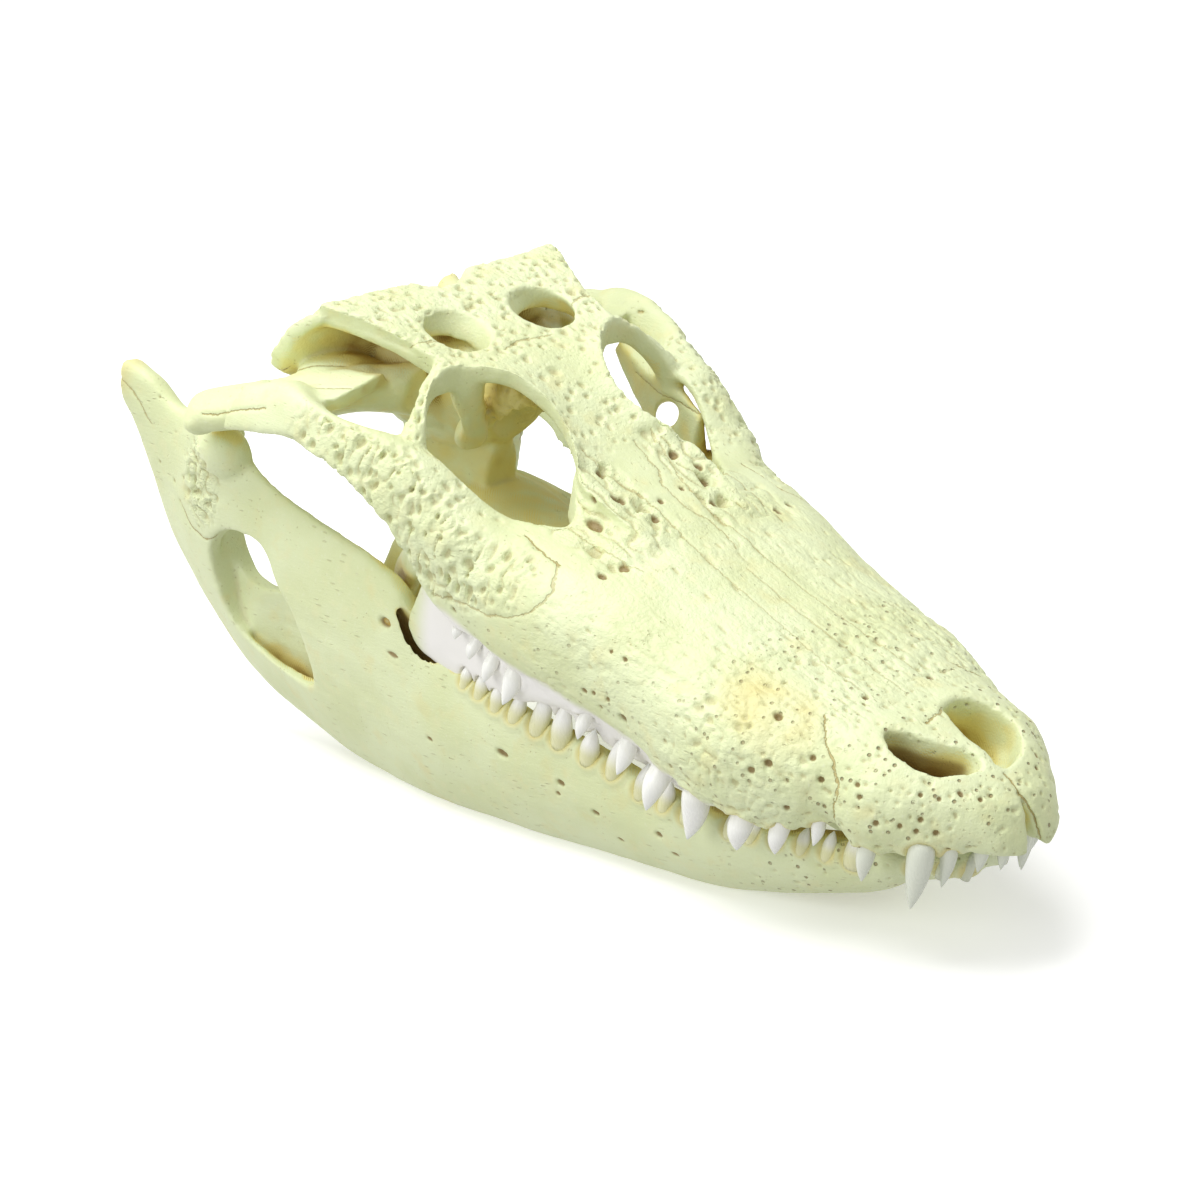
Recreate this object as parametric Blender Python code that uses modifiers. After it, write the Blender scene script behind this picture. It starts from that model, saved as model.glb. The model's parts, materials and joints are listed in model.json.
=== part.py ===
# Alligator skull with its lower jaw, life size, resting on the lower edges of the jaw.
# Shaped in the skull's own frame in millimetres: x to the animal's left, y back from the
# snout tip, z up from the plane of the upper tooth row. Then it is tipped nose down and
# set on the floor in metres, with the origin under the middle of its box.
import math

import bmesh
import bpy
import numpy as np
from mathutils import Matrix, Vector

MM = 0.001
NOSE_DOWN = 13.6                # degrees that the resting skull tips forward
GAP = 0.35                      # between neighbouring bones
TINY = 0.01                     # edges shorter than this are closed up
UPPER_VOXEL = 1.7
LOWER_VOXEL = 1.6
UPPER_SHARE = 0.054             # part of the fine skin's faces that each bone keeps
LOWER_SHARE = 0.034
FLAT_DEPTH = 0.9                # how deep the resting flats are trimmed into the jaw

# Upper jaw along its length: (distance from the snout tip, value)
HALF_WIDTH = [(0, 6.5), (2, 10.6), (5, 14.1), (8, 16.8), (12, 20.2), (20, 27), (30, 34.5), (40, 38.5),
              (48, 38.5), (58, 43.5), (70, 49), (85, 53.5), (100, 54.3), (115, 54), (130, 55.5), (150, 60),
              (170, 63.5), (192, 66.5)]
ROOF = [(0, 9), (4, 15.5), (10, 21.5), (20, 25), (35, 27.5), (60, 28.5), (80, 29.5), (110, 31.5),
        (140, 35.5), (165, 40.5), (192, 46)]
SHOULDER = [(0, 9), (4, 15.5), (10, 21), (20, 25), (35, 27.5), (60, 28), (85, 28.5), (110, 30.5), (140, 34),
            (165, 35), (180, 34.5), (192, 33)]
TOOTH_EDGE = [(0, 7), (12, 5.5), (20, 2), (28, -1), (40, -3.5), (49, -0.5), (57, -6), (68, -10.5), (90, -11),
              (110, -9.5), (122, -8), (150, -6), (173, -4.5), (185, -1), (192, 1.5)]
SNOUT_STATIONS = [0, 1, 2.5, 5, 8, 11, 15, 20, 26, 32, 38, 43, 48, 53, 58, 64, 70, 78, 86, 94, 102, 110, 120,
                  130, 140, 150, 160, 170, 180, 190]
SQUARENESS = [(0, 2.0), (30, 2.8), (60, 3.1), (120, 3.3), (192, 3.6)]
INNER_RIDGE = [(0, 0), (80, 1), (105, 10.5), (130, 14), (180, 16), (192, 14)]
# Cleft of the snout's tip as (height, back, half width at its open end)
LIP_NOTCH = [(-14, 11, 6), (7, 10.5, 5.5), (13, 11.2, 4.5), (17.5, 12.7, 3.2), (20, 14.5, 2.2), (24, 17, 1.2),
             (28, 19, 0.8)]
# Nostrils seen from above as (across, back), and their levels as (height, share of the width, set back)
RIGHT_NOSTRIL = [(18.5, 48.5), (22, 43), (22.5, 37), (21, 31), (17.5, 26.5), (11.5, 23.5), (4.5, 22.5), (2.6, 27),
                 (5, 31.5), (8.5, 35.5), (11, 39.5), (13.5, 45)]
LEFT_NOSTRIL = [(5.5, 48), (12, 49), (18, 45), (20.5, 38), (20, 31), (16, 25.5), (9.5, 21), (2, 19.5), (1.8, 26),
                (1.2, 32), (2, 38), (4, 44)]
NOSTRIL_LEVELS = [(45, 1, 0), (24, 1, 0), (17, 0.92, 2), (8, 0.7, 9)]
NOSTRIL_MIDDLE = (12, 35)

# Roof between the eyes: half width, height and thickness
BROW_WIDTH = [(150, 22), (180, 25), (190, 20), (200, 15.5), (210, 14), (218, 16), (226, 20), (233, 30),
              (244, 37)]
BROW_HEIGHT = [(150, 36.5), (180, 43), (200, 48.5), (220, 56), (235, 60), (244, 61)]
BROW_THICK = 7.0

# Flat table at the back of the skull
TABLE_SIDE = [(236, 33), (246, 37), (258, 40), (270, 44.5), (280, 48.5), (289, 51)]
TABLE_TOP = [(236, 60), (258, 63), (275, 64.5), (289, 63.5)]
TABLE_THICK = 9.0

# Cheek bar: upper and lower edge as (y, x, z), thickness and outward belly
CHEEK_TOP = [(150, 44, 27), (170, 35, 30), (182, 36.5, 31), (194, 44.5, 34), (207, 49.5, 40.5), (218, 52, 44),
             (231, 54.5, 44.5), (241, 60, 43), (250, 64, 42.5), (259, 65, 44), (272, 63, 47), (285, 66, 41)]
CHEEK_FOOT = [(150, 56, 1), (170, 61.5, 2), (185, 65, 1), (197, 68, 5), (207, 71, 15.5), (217, 73.5, 26),
              (229, 75.5, 32), (244, 78, 37.5), (258, 80, 38.5), (272, 82, 34), (294, 84, 25.5)]
CHEEK_THICK = [(150, 9), (185, 8.5), (215, 7), (240, 6), (265, 6), (294, 7)]
CHEEK_BELLY = [(150, 2), (170, 8), (185, 14), (192, 14.5), (200, 12), (214, 8.5), (235, 7.5), (255, 7.5),
               (272, 6.5), (285, 4.5), (294, 2)]
CHEEK_CREST = 1.3               # above 1 the belly sits nearer the upper edge
EYE_RIM = [(31.5, 177.5), (39.5, 187), (46.7, 200), (51, 213), (50.5, 225), (43, 234.5), (32.5, 236),
           (21, 227), (14.5, 209), (19.5, 192)]
EYE_MIDDLE = (34, 206)

# Lower jaw: upper and lower edge as (y, x, z), thickness and outward belly
JAW_TOP = [(15, 5, -5), (19, 12, -5), (27, 19, -7.5), (38, 25.5, -10), (60, 32, -16), (85, 40, -21.8),
           (100, 43.5, -24.6), (115, 46, -25), (130, 48.4, -23.6), (150, 51.5, -23.2), (173, 56, -23.8),
           (188, 58.5, -22), (200, 60, -21.5), (212, 61, -17.5), (219, 62, -9), (226, 62.5, -4), (240, 64, -2), (262, 66, -1), (285, 68, 1),
           (300, 71, 8), (309, 73, 19), (317, 74, 20.5), (326, 72.5, 10.5), (336, 71.5, 8.5), (350, 72.5, 14),
           (361, 74.5, 15.5)]
JAW_FOOT = [(15, 3, -8), (19, 6, -9.5), (27, 9, -14), (40, 13, -29.5), (60, 20, -41.5), (92, 30, -55.6),
            (128, 38, -64.1), (174, 47, -75.5), (220, 52, -86.6), (255, 53, -91.5), (287, 54, -90.5), (304, 57, -84),
            (317, 59.5, -75), (328, 61.5, -64), (339, 64, -50), (350, 68, -24), (358, 71, -8), (363, 73, -2)]
JAW_THICK = [(15, 8), (26, 13), (60, 15), (115, 14), (160, 13), (200, 14), (250, 16), (300, 15), (318, 17),
             (335, 12), (361, 11)]
JAW_WINDOW = [(309, -35), (300, -22), (284, -20.5), (274, -30), (262, -41), (256, -60), (268, -65), (287, -65),
              (303, -58)]
JAW_HOLLOW = [(218, 12), (300, 22), (311, -26), (305, -44), (286, -43), (262, -30), (240, -25), (224, -15)]
JAW_SINK = 4.5                   # how much lower the jaw's upper edge is on its inner side
WINDOW_LIFT = 10                 # the left window reaches this much higher than the right one
JAW_STATIONS = [15, 19, 24, 32, 40, 50, 60, 72, 85, 100, 115, 130, 145, 160, 175, 188, 200, 212, 224, 236, 250,
                265, 280, 292, 302, 310, 318, 326, 334, 342, 350, 356, 361]
JAW_BELLY = [(15, 1), (40, 3), (115, 3.5), (200, 5), (260, 7), (310, 5), (335, 2), (361, 0.5)]

# Teeth as (across, back, height on the right, height on the left, root radius) and (back, height, root radius)
FRONT_TEETH = [(3.9, 8.5, 9.8, 12.3, 2.2), (9.8, 12, 10.3, 17.5, 2.5), (18.5, 17, 14.5, 14, 2.7),
               (25, 21.5, 20.5, 19.5, 4.1), (31.5, 36, 12, 12, 2.9)]
CHEEK_TEETH = [(53.5, 8.5, 2.3), (63, 9.5, 3.0), (74, 11.5, 3.9), (91, 15.5, 4.5), (106.5, 12.5, 3.9),
               (121.5, 9.8, 3.1), (138.5, 7, 2.3), (166.5, 9.5, 3.2), (175.5, 7, 2.4), (183, 5, 2.1), (190, 4, 1.9)]
LOWER_TEETH = [(17, 6, 1.9), (22, 6, 1.9), (29, 6, 2.0), (45.5, 11, 3.6), (54, 7, 2.3), (62, 6.5, 2.2),
               (70, 6.5, 2.2), (78, 6.5, 2.2), (85, 7, 2.3), (100, 8, 2.5), (108.5, 8, 2.5), (117.5, 9.5, 2.9),
               (129, 11.5, 2.9), (139, 9, 3.3), (150.5, 14, 3.5), (159.5, 14, 3.2), (168.5, 9, 2.7),
               (176, 9, 2.5), (183, 8.5, 2.3), (189.5, 6.5, 2.0)]
LOWER_INSET = 3.4               # from the lower jaw's outer edge to the middle of its teeth
# How far outwards the tip of a 14 mm upper tooth stands from its root
TOOTH_TILT = [(50, 1), (92, 0.8), (106, 4.5), (150, 4.5), (190, 6)]
TOOTH_SUNK = 3.5
TOOTH_SIDES = 6
PIT_GAP = 0.4                    # around a lower tooth that ends inside the upper jaw

BONE = (0.83, 0.80, 0.60, 1.0)
DARK_BONE = (0.72, 0.68, 0.46, 1.0)
INNER_BONES = ("braincase", "palatines", "pterygoids", "ectopterygoid_left", "ectopterygoid_right")


def clear_scene():
    for thing in list(bpy.data.objects):
        bpy.data.objects.remove(thing, do_unlink=True)


def collection(name):
    made = bpy.data.collections.new(name)
    bpy.context.scene.collection.children.link(made)
    return made


def smooth(pairs, at):
    """Reads a smooth curve through (station, value...) rows, without overshoot."""
    rows = np.array(pairs, float)
    x, values = rows[:, 0], rows[:, 1:]
    step = np.diff(x)[:, None]
    slope = np.diff(values, axis=0) / step
    tangent = np.zeros_like(values)
    tangent[0], tangent[-1] = slope[0], slope[-1]
    same_way = slope[:-1] * slope[1:] > 0
    mean = 2 * slope[:-1] * slope[1:] / np.where(same_way, slope[:-1] + slope[1:], 1)
    tangent[1:-1] = np.where(same_way, mean, 0)
    at = np.clip(at, x[0], x[-1])
    i = int(min(np.searchsorted(x, at, side="right") - 1, len(x) - 2))
    h = step[i]
    t = (at - x[i]) / h
    out = ((2 * t**3 - 3 * t**2 + 1) * values[i] + (t**3 - 2 * t**2 + t) * h * tangent[i]
           + (3 * t**2 - 2 * t**3) * values[i + 1] + (t**3 - t**2) * h * tangent[i + 1])
    return float(out[0]) if values.shape[1] == 1 else out


def mesh_object(name, points, faces, home):
    mesh = bpy.data.meshes.new(name)
    mesh.from_pydata([tuple(Vector(p) * MM) for p in points], [], faces)
    mesh.validate()
    shell = bmesh.new()
    shell.from_mesh(mesh)
    bmesh.ops.recalc_face_normals(shell, faces=shell.faces)
    bmesh.ops.triangulate(shell, faces=[f for f in shell.faces if len(f.verts) > 4])
    shell.to_mesh(mesh)
    shell.free()
    made = bpy.data.objects.new(name, mesh)
    home.objects.link(made)
    return made


def loft(name, rings, home):
    """One closed skin over rings with the same number of points."""
    n = len(rings[0])
    points = [p for ring in rings for p in ring]
    faces = []
    for r in range(len(rings) - 1):
        for k in range(n):
            a, b = r * n + k, r * n + (k + 1) % n
            faces.append((a, b, b + n, a + n))
    faces.append(tuple(range(n)))
    faces.append(tuple(range((len(rings) - 1) * n, len(rings) * n)))
    return mesh_object(name, points, faces, home)


def oval(centre, across, up, n=14, power=2.0):
    """A ring of points about a centre, with half axes across and up."""
    centre, across, up = Vector(centre), Vector(across), Vector(up)
    ring = []
    for k in range(n):
        angle = 2 * math.pi * k / n
        c, s = math.cos(angle), math.sin(angle)
        ring.append(centre + across * math.copysign(abs(c) ** (2 / power), c)
                    + up * math.copysign(abs(s) ** (2 / power), s))
    return ring


def rod(name, route, home, n=12, steps=14, flat=(0, 0, 1)):
    """A bone rod along a smooth route of (x, y, z, half width, half height)."""
    keys = [(k,) + tuple(row) for k, row in enumerate(route)]
    stations = [smooth(keys, t) for t in np.linspace(0, len(route) - 1, steps)]
    rings = []
    for k, s in enumerate(stations):
        before, after = stations[max(k - 1, 0)], stations[min(k + 1, steps - 1)]
        along = Vector(after[:3] - before[:3]).normalized()
        across = along.cross(Vector(flat)).normalized()
        up = across.cross(along).normalized()
        rings.append(oval(s[:3], across * s[3], up * s[4], n))
    return loft(name, rings, home)


def plate(name, outline, thick, home, along):
    """A flat or warped plate: each outline point goes half the thickness either way."""
    push = Vector(along).normalized() * thick / 2
    face_a = [Vector(p) + push for p in outline]
    face_b = [Vector(p) - push for p in outline]
    return loft(name, [face_a, face_b], home)


def ball(name, centre, radii, home, turn=0.0):
    shell = bmesh.new()
    bmesh.ops.create_uvsphere(shell, u_segments=20, v_segments=12, radius=1.0)
    place = (Matrix.Translation(Vector(centre) * MM) @ Matrix.Rotation(math.radians(turn), 4, "Z")
             @ Matrix.Diagonal((radii[0] * MM, radii[1] * MM, radii[2] * MM, 1)))
    bmesh.ops.transform(shell, matrix=place, verts=shell.verts)
    mesh = bpy.data.meshes.new(name)
    shell.to_mesh(mesh)
    shell.free()
    made = bpy.data.objects.new(name, mesh)
    home.objects.link(made)
    return made


def mirrored(piece, home):
    """The same piece on the other side of the skull."""
    mesh = piece.data.copy()
    mesh.transform(Matrix.Diagonal((-1, 1, 1, 1)))
    mesh.flip_normals()
    made = bpy.data.objects.new(piece.name + "_mirror", mesh)
    home.objects.link(made)
    return made


def both_sides(pieces, home):
    return pieces + [mirrored(piece, home) for piece in pieces]


def snout_ring(y):
    """A section of the upper jaw: tooth edge, bulging side, shoulder and raised middle."""
    w, edge = smooth(HALF_WIDTH, y), smooth(TOOTH_EDGE, y)
    roof, crest = smooth(SHOULDER, y), smooth(ROOF, y) - smooth(SHOULDER, y)
    power, ridge = smooth(SQUARENESS, y), smooth(INNER_RIDGE, y)
    small = min(1.0, w / 30)
    waist = edge + 0.28 * (roof - edge)
    half = []
    for k in range(13):
        angle = math.pi / 2 * k / 12
        x = w * math.sin(angle) ** (2 / power)
        middle = 0.5 + 0.5 * math.cos(math.pi * min(max((x - 10) / 28, 0), 1))
        half.append((x, waist + (roof - waist) * math.cos(angle) ** (2 / power) + crest * middle))
    half += [(w - 1.6 * small, edge + 5 * small), (w - 4.5 * small, edge + 0.8 * small), (w - 7 * small, edge),
             (w - 13 * small, edge + 0.6 * small - ridge), (w - 17 * small, edge + 3 * small - ridge)]
    half.append((0, edge + 6 * small - 0.4 * ridge))
    left = [(x, y, z) for x, z in half]
    right = [(-x, y, z) for x, z in reversed(half[1:-1])]
    return left + right


def snout(home):
    return loft("snout", [snout_ring(y) for y in SNOUT_STATIONS], home)


def brow_ring(y, width, height, thick, rise):
    """A plate across the skull whose two edges stand higher than its middle."""
    top = [(width * u, y, height + rise * abs(u) ** 3) for u in np.linspace(-1, 1, 9)]
    under = [(0.94 * x, y, z - thick + 1.5 * (1 - abs(x) / width)) for x, y, z in reversed(top)]
    return top + under


def brow(home):
    rings = []
    for y in (150, 160, 170, 180, 186, 192, 198, 204, 210, 216, 222, 228, 234, 244):
        rise = 4.0 if 188 < y < 232 else 1.5
        rings.append(brow_ring(y, smooth(BROW_WIDTH, y), smooth(BROW_HEIGHT, y), BROW_THICK, rise))
    return loft("brow", rings, home)


def table(home):
    rings = [brow_ring(y, smooth(TABLE_SIDE, y), smooth(TABLE_TOP, y), TABLE_THICK, 1.2)
             for y in (236, 240, 246, 252, 258, 264, 270, 276, 282, 287)]
    return loft("table", rings, home)


def blade_ring(top, foot, thick, belly, y, crest=1.0, sink=0.0, n=18):
    """A slanting blade in a section plane: rounded edges, bellied outwards, its inside foot ends higher.

    The upper edge lies lower on the inside by sink.
    """
    top, foot = Vector((top[0], y, top[1])), Vector((foot[0], y, foot[1]))
    up = top - foot
    out = Vector((-up.z, 0, up.x)).normalized() * (-1 if up.z < 0 else 1)
    if out.x < 0:
        out = -out
    ring = []
    for k in range(n):
        angle = 2 * math.pi * k / n
        c, s = math.cos(angle), math.sin(angle)
        u = 0.5 - 0.5 * math.copysign(abs(c) ** 0.85, c)
        side = math.copysign(abs(s) ** 0.6, s) * thick / 2
        bulge = belly * math.sin(math.pi * u ** crest)
        if s < 0:
            u = 1 - (1 - u) * 0.88
        u -= min(sink / up.length, 0.15) * u**2 * (0.5 - side / thick)
        ring.append(foot + up * u + out * (side + bulge - thick / 2))
    return ring


def cheek(home):
    rings = []
    for y in (150, 158, 166, 174, 182, 190, 198, 206, 214, 222, 230, 238, 246, 254, 262, 270, 278, 285, 290):
        top, foot = smooth(CHEEK_TOP, y), smooth(CHEEK_FOOT, y)
        rings.append(blade_ring(top, foot, smooth(CHEEK_THICK, y), smooth(CHEEK_BELLY, y), y, CHEEK_CREST))
    return loft("cheek", rings, home)


def eye_post(home):
    """The short column from the table's front corner down to the cheek."""
    return rod("eye_post", [(33, 239, 57, 6, 5), (41, 236, 54.5, 4.2, 4.4), (47, 233, 50, 3.7, 3.9),
                            (52.5, 229, 44, 4.4, 5), (57, 226, 37, 5, 6)], home, flat=(0, 1, 0))


def quadrate(home):
    """The strut that carries the jaw joint, and the plates that tie it to the table and braincase."""
    strut = rod("quadrate_strut", [(22, 262, 38, 8, 10), (38, 271, 38, 9, 7.5), (54, 283, 32.5, 10.5, 7),
                                   (68, 296, 27, 11, 6.5), (76, 306, 22.5, 10.5, 6.2), (79, 310, 21, 8, 5)], home)
    knuckle = ball("quadrate_knuckle", (76, 306.5, 20.5), (11.5, 6, 5.6), home, turn=-22)
    web = plate("quadrate_web", [(60, 259, 43), (67, 263, 42), (80, 290, 28), (74, 301, 25.5), (54, 290, 36),
                                 (44, 276, 42), (38, 262, 46)], 6.5, home, (0.45, -0.1, 1))
    return [strut, knuckle, web]


def ear_wall(home):
    """The wing behind the ear opening, from the table's rear corner down."""
    wing = plate("ear_wing", [(22, 284, 60), (50, 285, 61), (54, 293, 52), (55.5, 299, 41), (53, 302, 34),
                              (44, 298, 30), (22, 290, 30)], 6, home, (0.25, 1, 0.2))
    bridge = ball("ear_floor", (40, 282, 37), (16, 12, 7), home, turn=25)
    return [wing, bridge]


def braincase(home):
    box = loft("braincase", [
        oval((0, 229, 50), (13, 0, 0), (0, 3, 7), 16),
        oval((0, 233, 46), (15, 0, 0), (0, 2, 12), 16),
        oval((0, 243, 40), (15, 0, 0), (0, 0, 18), 16),
        oval((0, 256, 35), (17, 0, 0), (0, 0, 23), 16),
        oval((0, 270, 33), (21, 0, 0), (0, 0, 25), 16),
        oval((0, 282, 34), (26, 0, 0), (0, 0, 24), 16),
        oval((0, 291, 38), (25, 0, 0), (0, 0, 18), 16)], home)
    keel = loft("brain_keel", [
        oval((0, 244, 8), (7, 0, 0), (0, 0, 14), 12),
        oval((0, 260, 6), (9, 0, 0), (0, 0, 17), 12),
        oval((0, 274, 8), (13, 0, 0), (0, 0, 20), 12),
        oval((0, 282, 10), (14, 0, 0), (0, 0, 17), 12)], home)
    condyle = ball("occipital_condyle", (0, 294, 25), (7.5, 8, 6), home)
    return [box, keel, condyle]


def palate(home):
    """The bar under the eyes, the wings beside the throat and the struts that brace them."""
    bar = loft("palate_bar", [
        oval((0, 140, 4), (24, 0, 0), (0, 0, 5), 14), oval((0, 165, 4), (16, 0, 0), (0, 0, 5), 14),
        oval((0, 195, 3), (12, 0, 0), (0, 0, 5), 14), oval((0, 220, 1), (14, 0, 0), (0, 0, 5.5), 14),
        oval((0, 240, -1), (17, 0, 0), (0, 0, 6.5), 14), oval((0, 262, -3), (14, 0, 0), (0, 0, 7), 14)], home)
    wing = loft("throat_wing", [
        oval((4, 243, 0), (0, 17, 0), (0, 0, 4.5), 14), oval((20, 243, -4), (0, 17, 0), (0, 0, 3.6), 14),
        oval((34, 242, -15), (0, 15, 0), (2, 0, 4.0), 14), oval((42, 241, -27), (0, 13, 0), (3, 0, 3.6), 14),
        oval((45, 241, -36), (0, 8, 0), (3, 0, 2.6), 14)], home)
    strut = rod("throat_strut", [(60, 203, 12, 5, 9), (55, 214, 10, 5, 7.5), (48.5, 226, 1, 4, 7.5),
                                 (43.5, 236, -12, 4, 7.5), (41.5, 241, -24, 3, 6)], home)
    shelf = rod("tooth_shelf", [(50, 140, 0, 9, 8), (54, 165, -1, 7, 8), (58, 185, -4, 5.5, 13),
                                (59, 203, 0, 5, 15), (58.5, 214, 5, 4, 13)], home)
    lining = plate("cheek_lining", [(49, 206, 34), (53, 222, 37), (56, 240, 38), (60, 256, 39), (63, 261, 33),
                                    (60, 250, 27), (56, 236, 22), (54, 224, 5), (55, 206, 12)], 6, home,
                   (1, -0.25, 0.45))
    pillar = rod("temple_pillar", [(27, 237, 57, 7, 4.5), (24, 238, 45, 6, 4.5), (18, 241, 28, 6, 5)], home,
                 flat=(0, 1, 0))
    return [bar], [wing, strut, shelf, lining, pillar]


def upper_solids(home):
    middle = [snout(home), brow(home), table(home)] + braincase(home)
    bar, one_side = palate(home)
    one_side += [cheek(home), eye_post(home)] + quadrate(home) + ear_wall(home)
    return middle + bar + both_sides(one_side, home)


def tunnel(name, rings, home, power=2.0, n=20):
    """A cutter lofted through level ovals: (x, y, z, half length across, half length along, turn)."""
    made = []
    for x, y, z, rx, ry, turn in rings:
        a = math.radians(turn)
        across, along = Vector((math.cos(a), math.sin(a), 0)) * rx, Vector((-math.sin(a), math.cos(a), 0)) * ry
        made.append(oval((x, y, z), across, along, n, power))
    return loft(name, made, home)


def upper_cutters(home):
    """The openings of the left side, which the right side has too, and those of the middle."""
    rim = closed_curve(EYE_RIM, 3)
    mid_x, mid_y = EYE_MIDDLE
    levels = ((-5, 0.62), (8, 0.85), (22, 1.0), (38, 1.04), (50, 1.0), (90, 1.0))
    eye = loft("eye_opening", [[(mid_x + (x - mid_x) * wide, mid_y + (y - mid_y) * wide, z) for x, y in rim]
                               for z, wide in levels], home)
    under_eye = tunnel("palate_opening", [(33, 196, 26, 15, 24, -6), (32, 186, 10, 13, 33, -6),
                                          (31, 184, -24, 13, 34, -6)], home)
    between = tunnel("under_brow", [(0, 216, 43, 13, 25, 0), (0, 216, 31, 20, 28.5, 0),
                                    (0, 212, 9.5, 18, 27, 0)], home)
    upper_hole = tunnel("table_opening", [(17.5, 253.5, 80, 11, 12, -12), (17.5, 254, 62, 10.5, 11.5, -12),
                                          (24, 250, 50, 10, 11, -12), (33, 247, 30, 9, 12, 0),
                                          (36, 245, 5, 9, 12, 0)], home)
    ear = loft("ear_opening", [
        oval((66, 268, 54), (6, 10, -1), (0, -3, 6), 16), oval((56, 270, 53), (6, 12, -1), (0, -3, 5.6), 16),
        oval((46, 270, 51), (4, 11, -1), (0, -2, 5), 16), oval((34, 266, 49), (2, 8, -1), (0, -1, 4.5), 16)], home)
    slit = rod("cheek_slit", [(46, 217, 32.5, 4, 4.5), (54, 225, 26, 4, 4.5), (63, 234, 18, 4, 4.5)], home)
    notch = ball("table_notch", (0, 291, 67), (13, 13, 12), home)
    left, right = nostril(LEFT_NOSTRIL, home), nostril(RIGHT_NOSTRIL, home)
    right_one = mirrored(right, home)
    bpy.data.objects.remove(right, do_unlink=True)
    return [eye, under_eye, upper_hole, ear, slit], [between, notch, left, right_one, lip_notch(home)]


def nostril(outline, home):
    mid_x, mid_y = NOSTRIL_MIDDLE
    return loft("nostril", [[(mid_x + (x - mid_x) * share, mid_y + (y - mid_y) * share + back, z)
                             for x, y in closed_curve(outline, 2)] for z, share, back in NOSTRIL_LEVELS], home)


def lip_notch(home):
    return loft("lip_notch", [[(0, back, z), (half, -6, z), (-half, -6, z)] for z, back, half in LIP_NOTCH], home)


def jaw_side(home):
    rings = []
    for y in JAW_STATIONS:
        top, foot = smooth(JAW_TOP, y), smooth(JAW_FOOT, y)
        rings.append(blade_ring(top, foot, smooth(JAW_THICK, y), smooth(JAW_BELLY, y), y, sink=JAW_SINK))
    branch = loft("jaw_branch", rings, home)
    chin = loft("chin", [
        oval((4, 16, -6.5), (5, 0, 0), (0, 0, 3), 14), oval((5, 21, -8.5), (8, 0, 0), (0, 0, 4.5), 14),
        oval((6, 30, -12.5), (11, 0, 0), (0, 0, 6), 14), oval((7, 42, -19), (12, 0, 0), (0, 0, 8), 14),
        oval((8, 54, -27), (9.5, 0, 0), (0, 0, 6), 14)], home)
    joint = ball("jaw_joint", (72, 307, 6), (10.5, 11, 9.5), home, turn=-20)
    return [branch, chin, joint]


def lower_cutters(home, lift=0.0):
    """Window, hollow and joint socket of the left jaw; lift raises the window's upper edge."""
    outline = [(y + 0.6 * lift * (1 + z / 65), z + lift * (1 + z / 65)) for y, z in JAW_WINDOW]
    window = loft("jaw_window", [
        [Vector((x, y, z)) for y, z in closed_curve(outline, 3)] for x in (58.5, 90)], home)
    hollow = loft("jaw_hollow", [
        [Vector((x + slant * (y - 206), y, z)) for y, z in closed_curve(JAW_HOLLOW, 2)]
        for x, slant in ((35, 0), (51, 0.13))], home)
    trough = loft("jaw_trough", [
        oval((51, 196, -40), (2.5, 0, 0), (1.5, 0, 10), 14), oval((53, 212, -34), (3.8, 0, 0), (3.3, 0, 22), 14),
        oval((54, 235, -40), (4.6, 0, 0), (4, 0, 28), 14), oval((56, 262, -42), (5, 0, 0), (4.5, 0, 32), 14),
        oval((58, 284, -42), (4.6, 0, 0), (4.5, 0, 31), 14), oval((61, 296, -44), (3, 0, 0), (3, 0, 22), 14)], home)
    socket = ball("joint_socket", (76, 306.5, 21.5), (14, 7.5, 7.6), home, turn=-22)
    return [window, hollow, trough, socket]


def closed_curve(corners, steps):
    """A smooth closed outline through its corners, with steps points for each stretch."""
    n = len(corners)
    rows = []
    for k in range(n):
        p0, p1, p2, p3 = (np.array(corners[(k + j - 1) % n], float) for j in range(4))
        for t in np.arange(steps) / steps:
            rows.append(tuple(0.5 * (2 * p1 + (p2 - p0) * t + (2 * p0 - 5 * p1 + 4 * p2 - p3) * t**2
                                     + (3 * p1 - p0 - 3 * p2 + p3) * t**3)))
    return rows


def join(target, pieces, solver="MANIFOLD"):
    """Unites a collection of closed pieces with the target, applies it and removes them."""
    batch = bpy.data.collections.new("batch")
    for piece in pieces:
        batch.objects.link(piece)
    step = target.modifiers.new("join", "BOOLEAN")
    step.operation, step.operand_type, step.collection, step.solver = "UNION", "COLLECTION", batch, solver
    bake(target)
    bpy.data.collections.remove(batch)
    for piece in pieces:
        bpy.data.objects.remove(piece, do_unlink=True)


def cut(target, cutter, operation="DIFFERENCE", solver="MANIFOLD"):
    step = target.modifiers.new("cut", "BOOLEAN")
    step.operation, step.object, step.solver = operation, cutter, solver
    bake(target)


def bake(target):
    """Turns the object's modifiers into its mesh."""
    bpy.context.view_layer.update()
    seen = target.evaluated_get(bpy.context.evaluated_depsgraph_get())
    mesh = bpy.data.meshes.new_from_object(seen)
    old = target.data
    target.modifiers.clear()
    target.data = mesh
    bpy.data.meshes.remove(old)


def fused(name, pieces, cutters, voxel):
    """Fuses the pieces into one even skin and opens it with the cutters."""
    body = pieces[0]
    join(body, pieces[1:])
    for cutter in cutters:
        cut(body, cutter)
    body.name = name
    skin = body.modifiers.new("skin", "REMESH")
    skin.mode, skin.voxel_size, skin.adaptivity = "VOXEL", voxel * MM, 0.0
    ease = body.modifiers.new("ease", "SMOOTH")
    ease.factor, ease.iterations = 0.5, 5
    bake(body)
    keep_largest(body)
    return body


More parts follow.
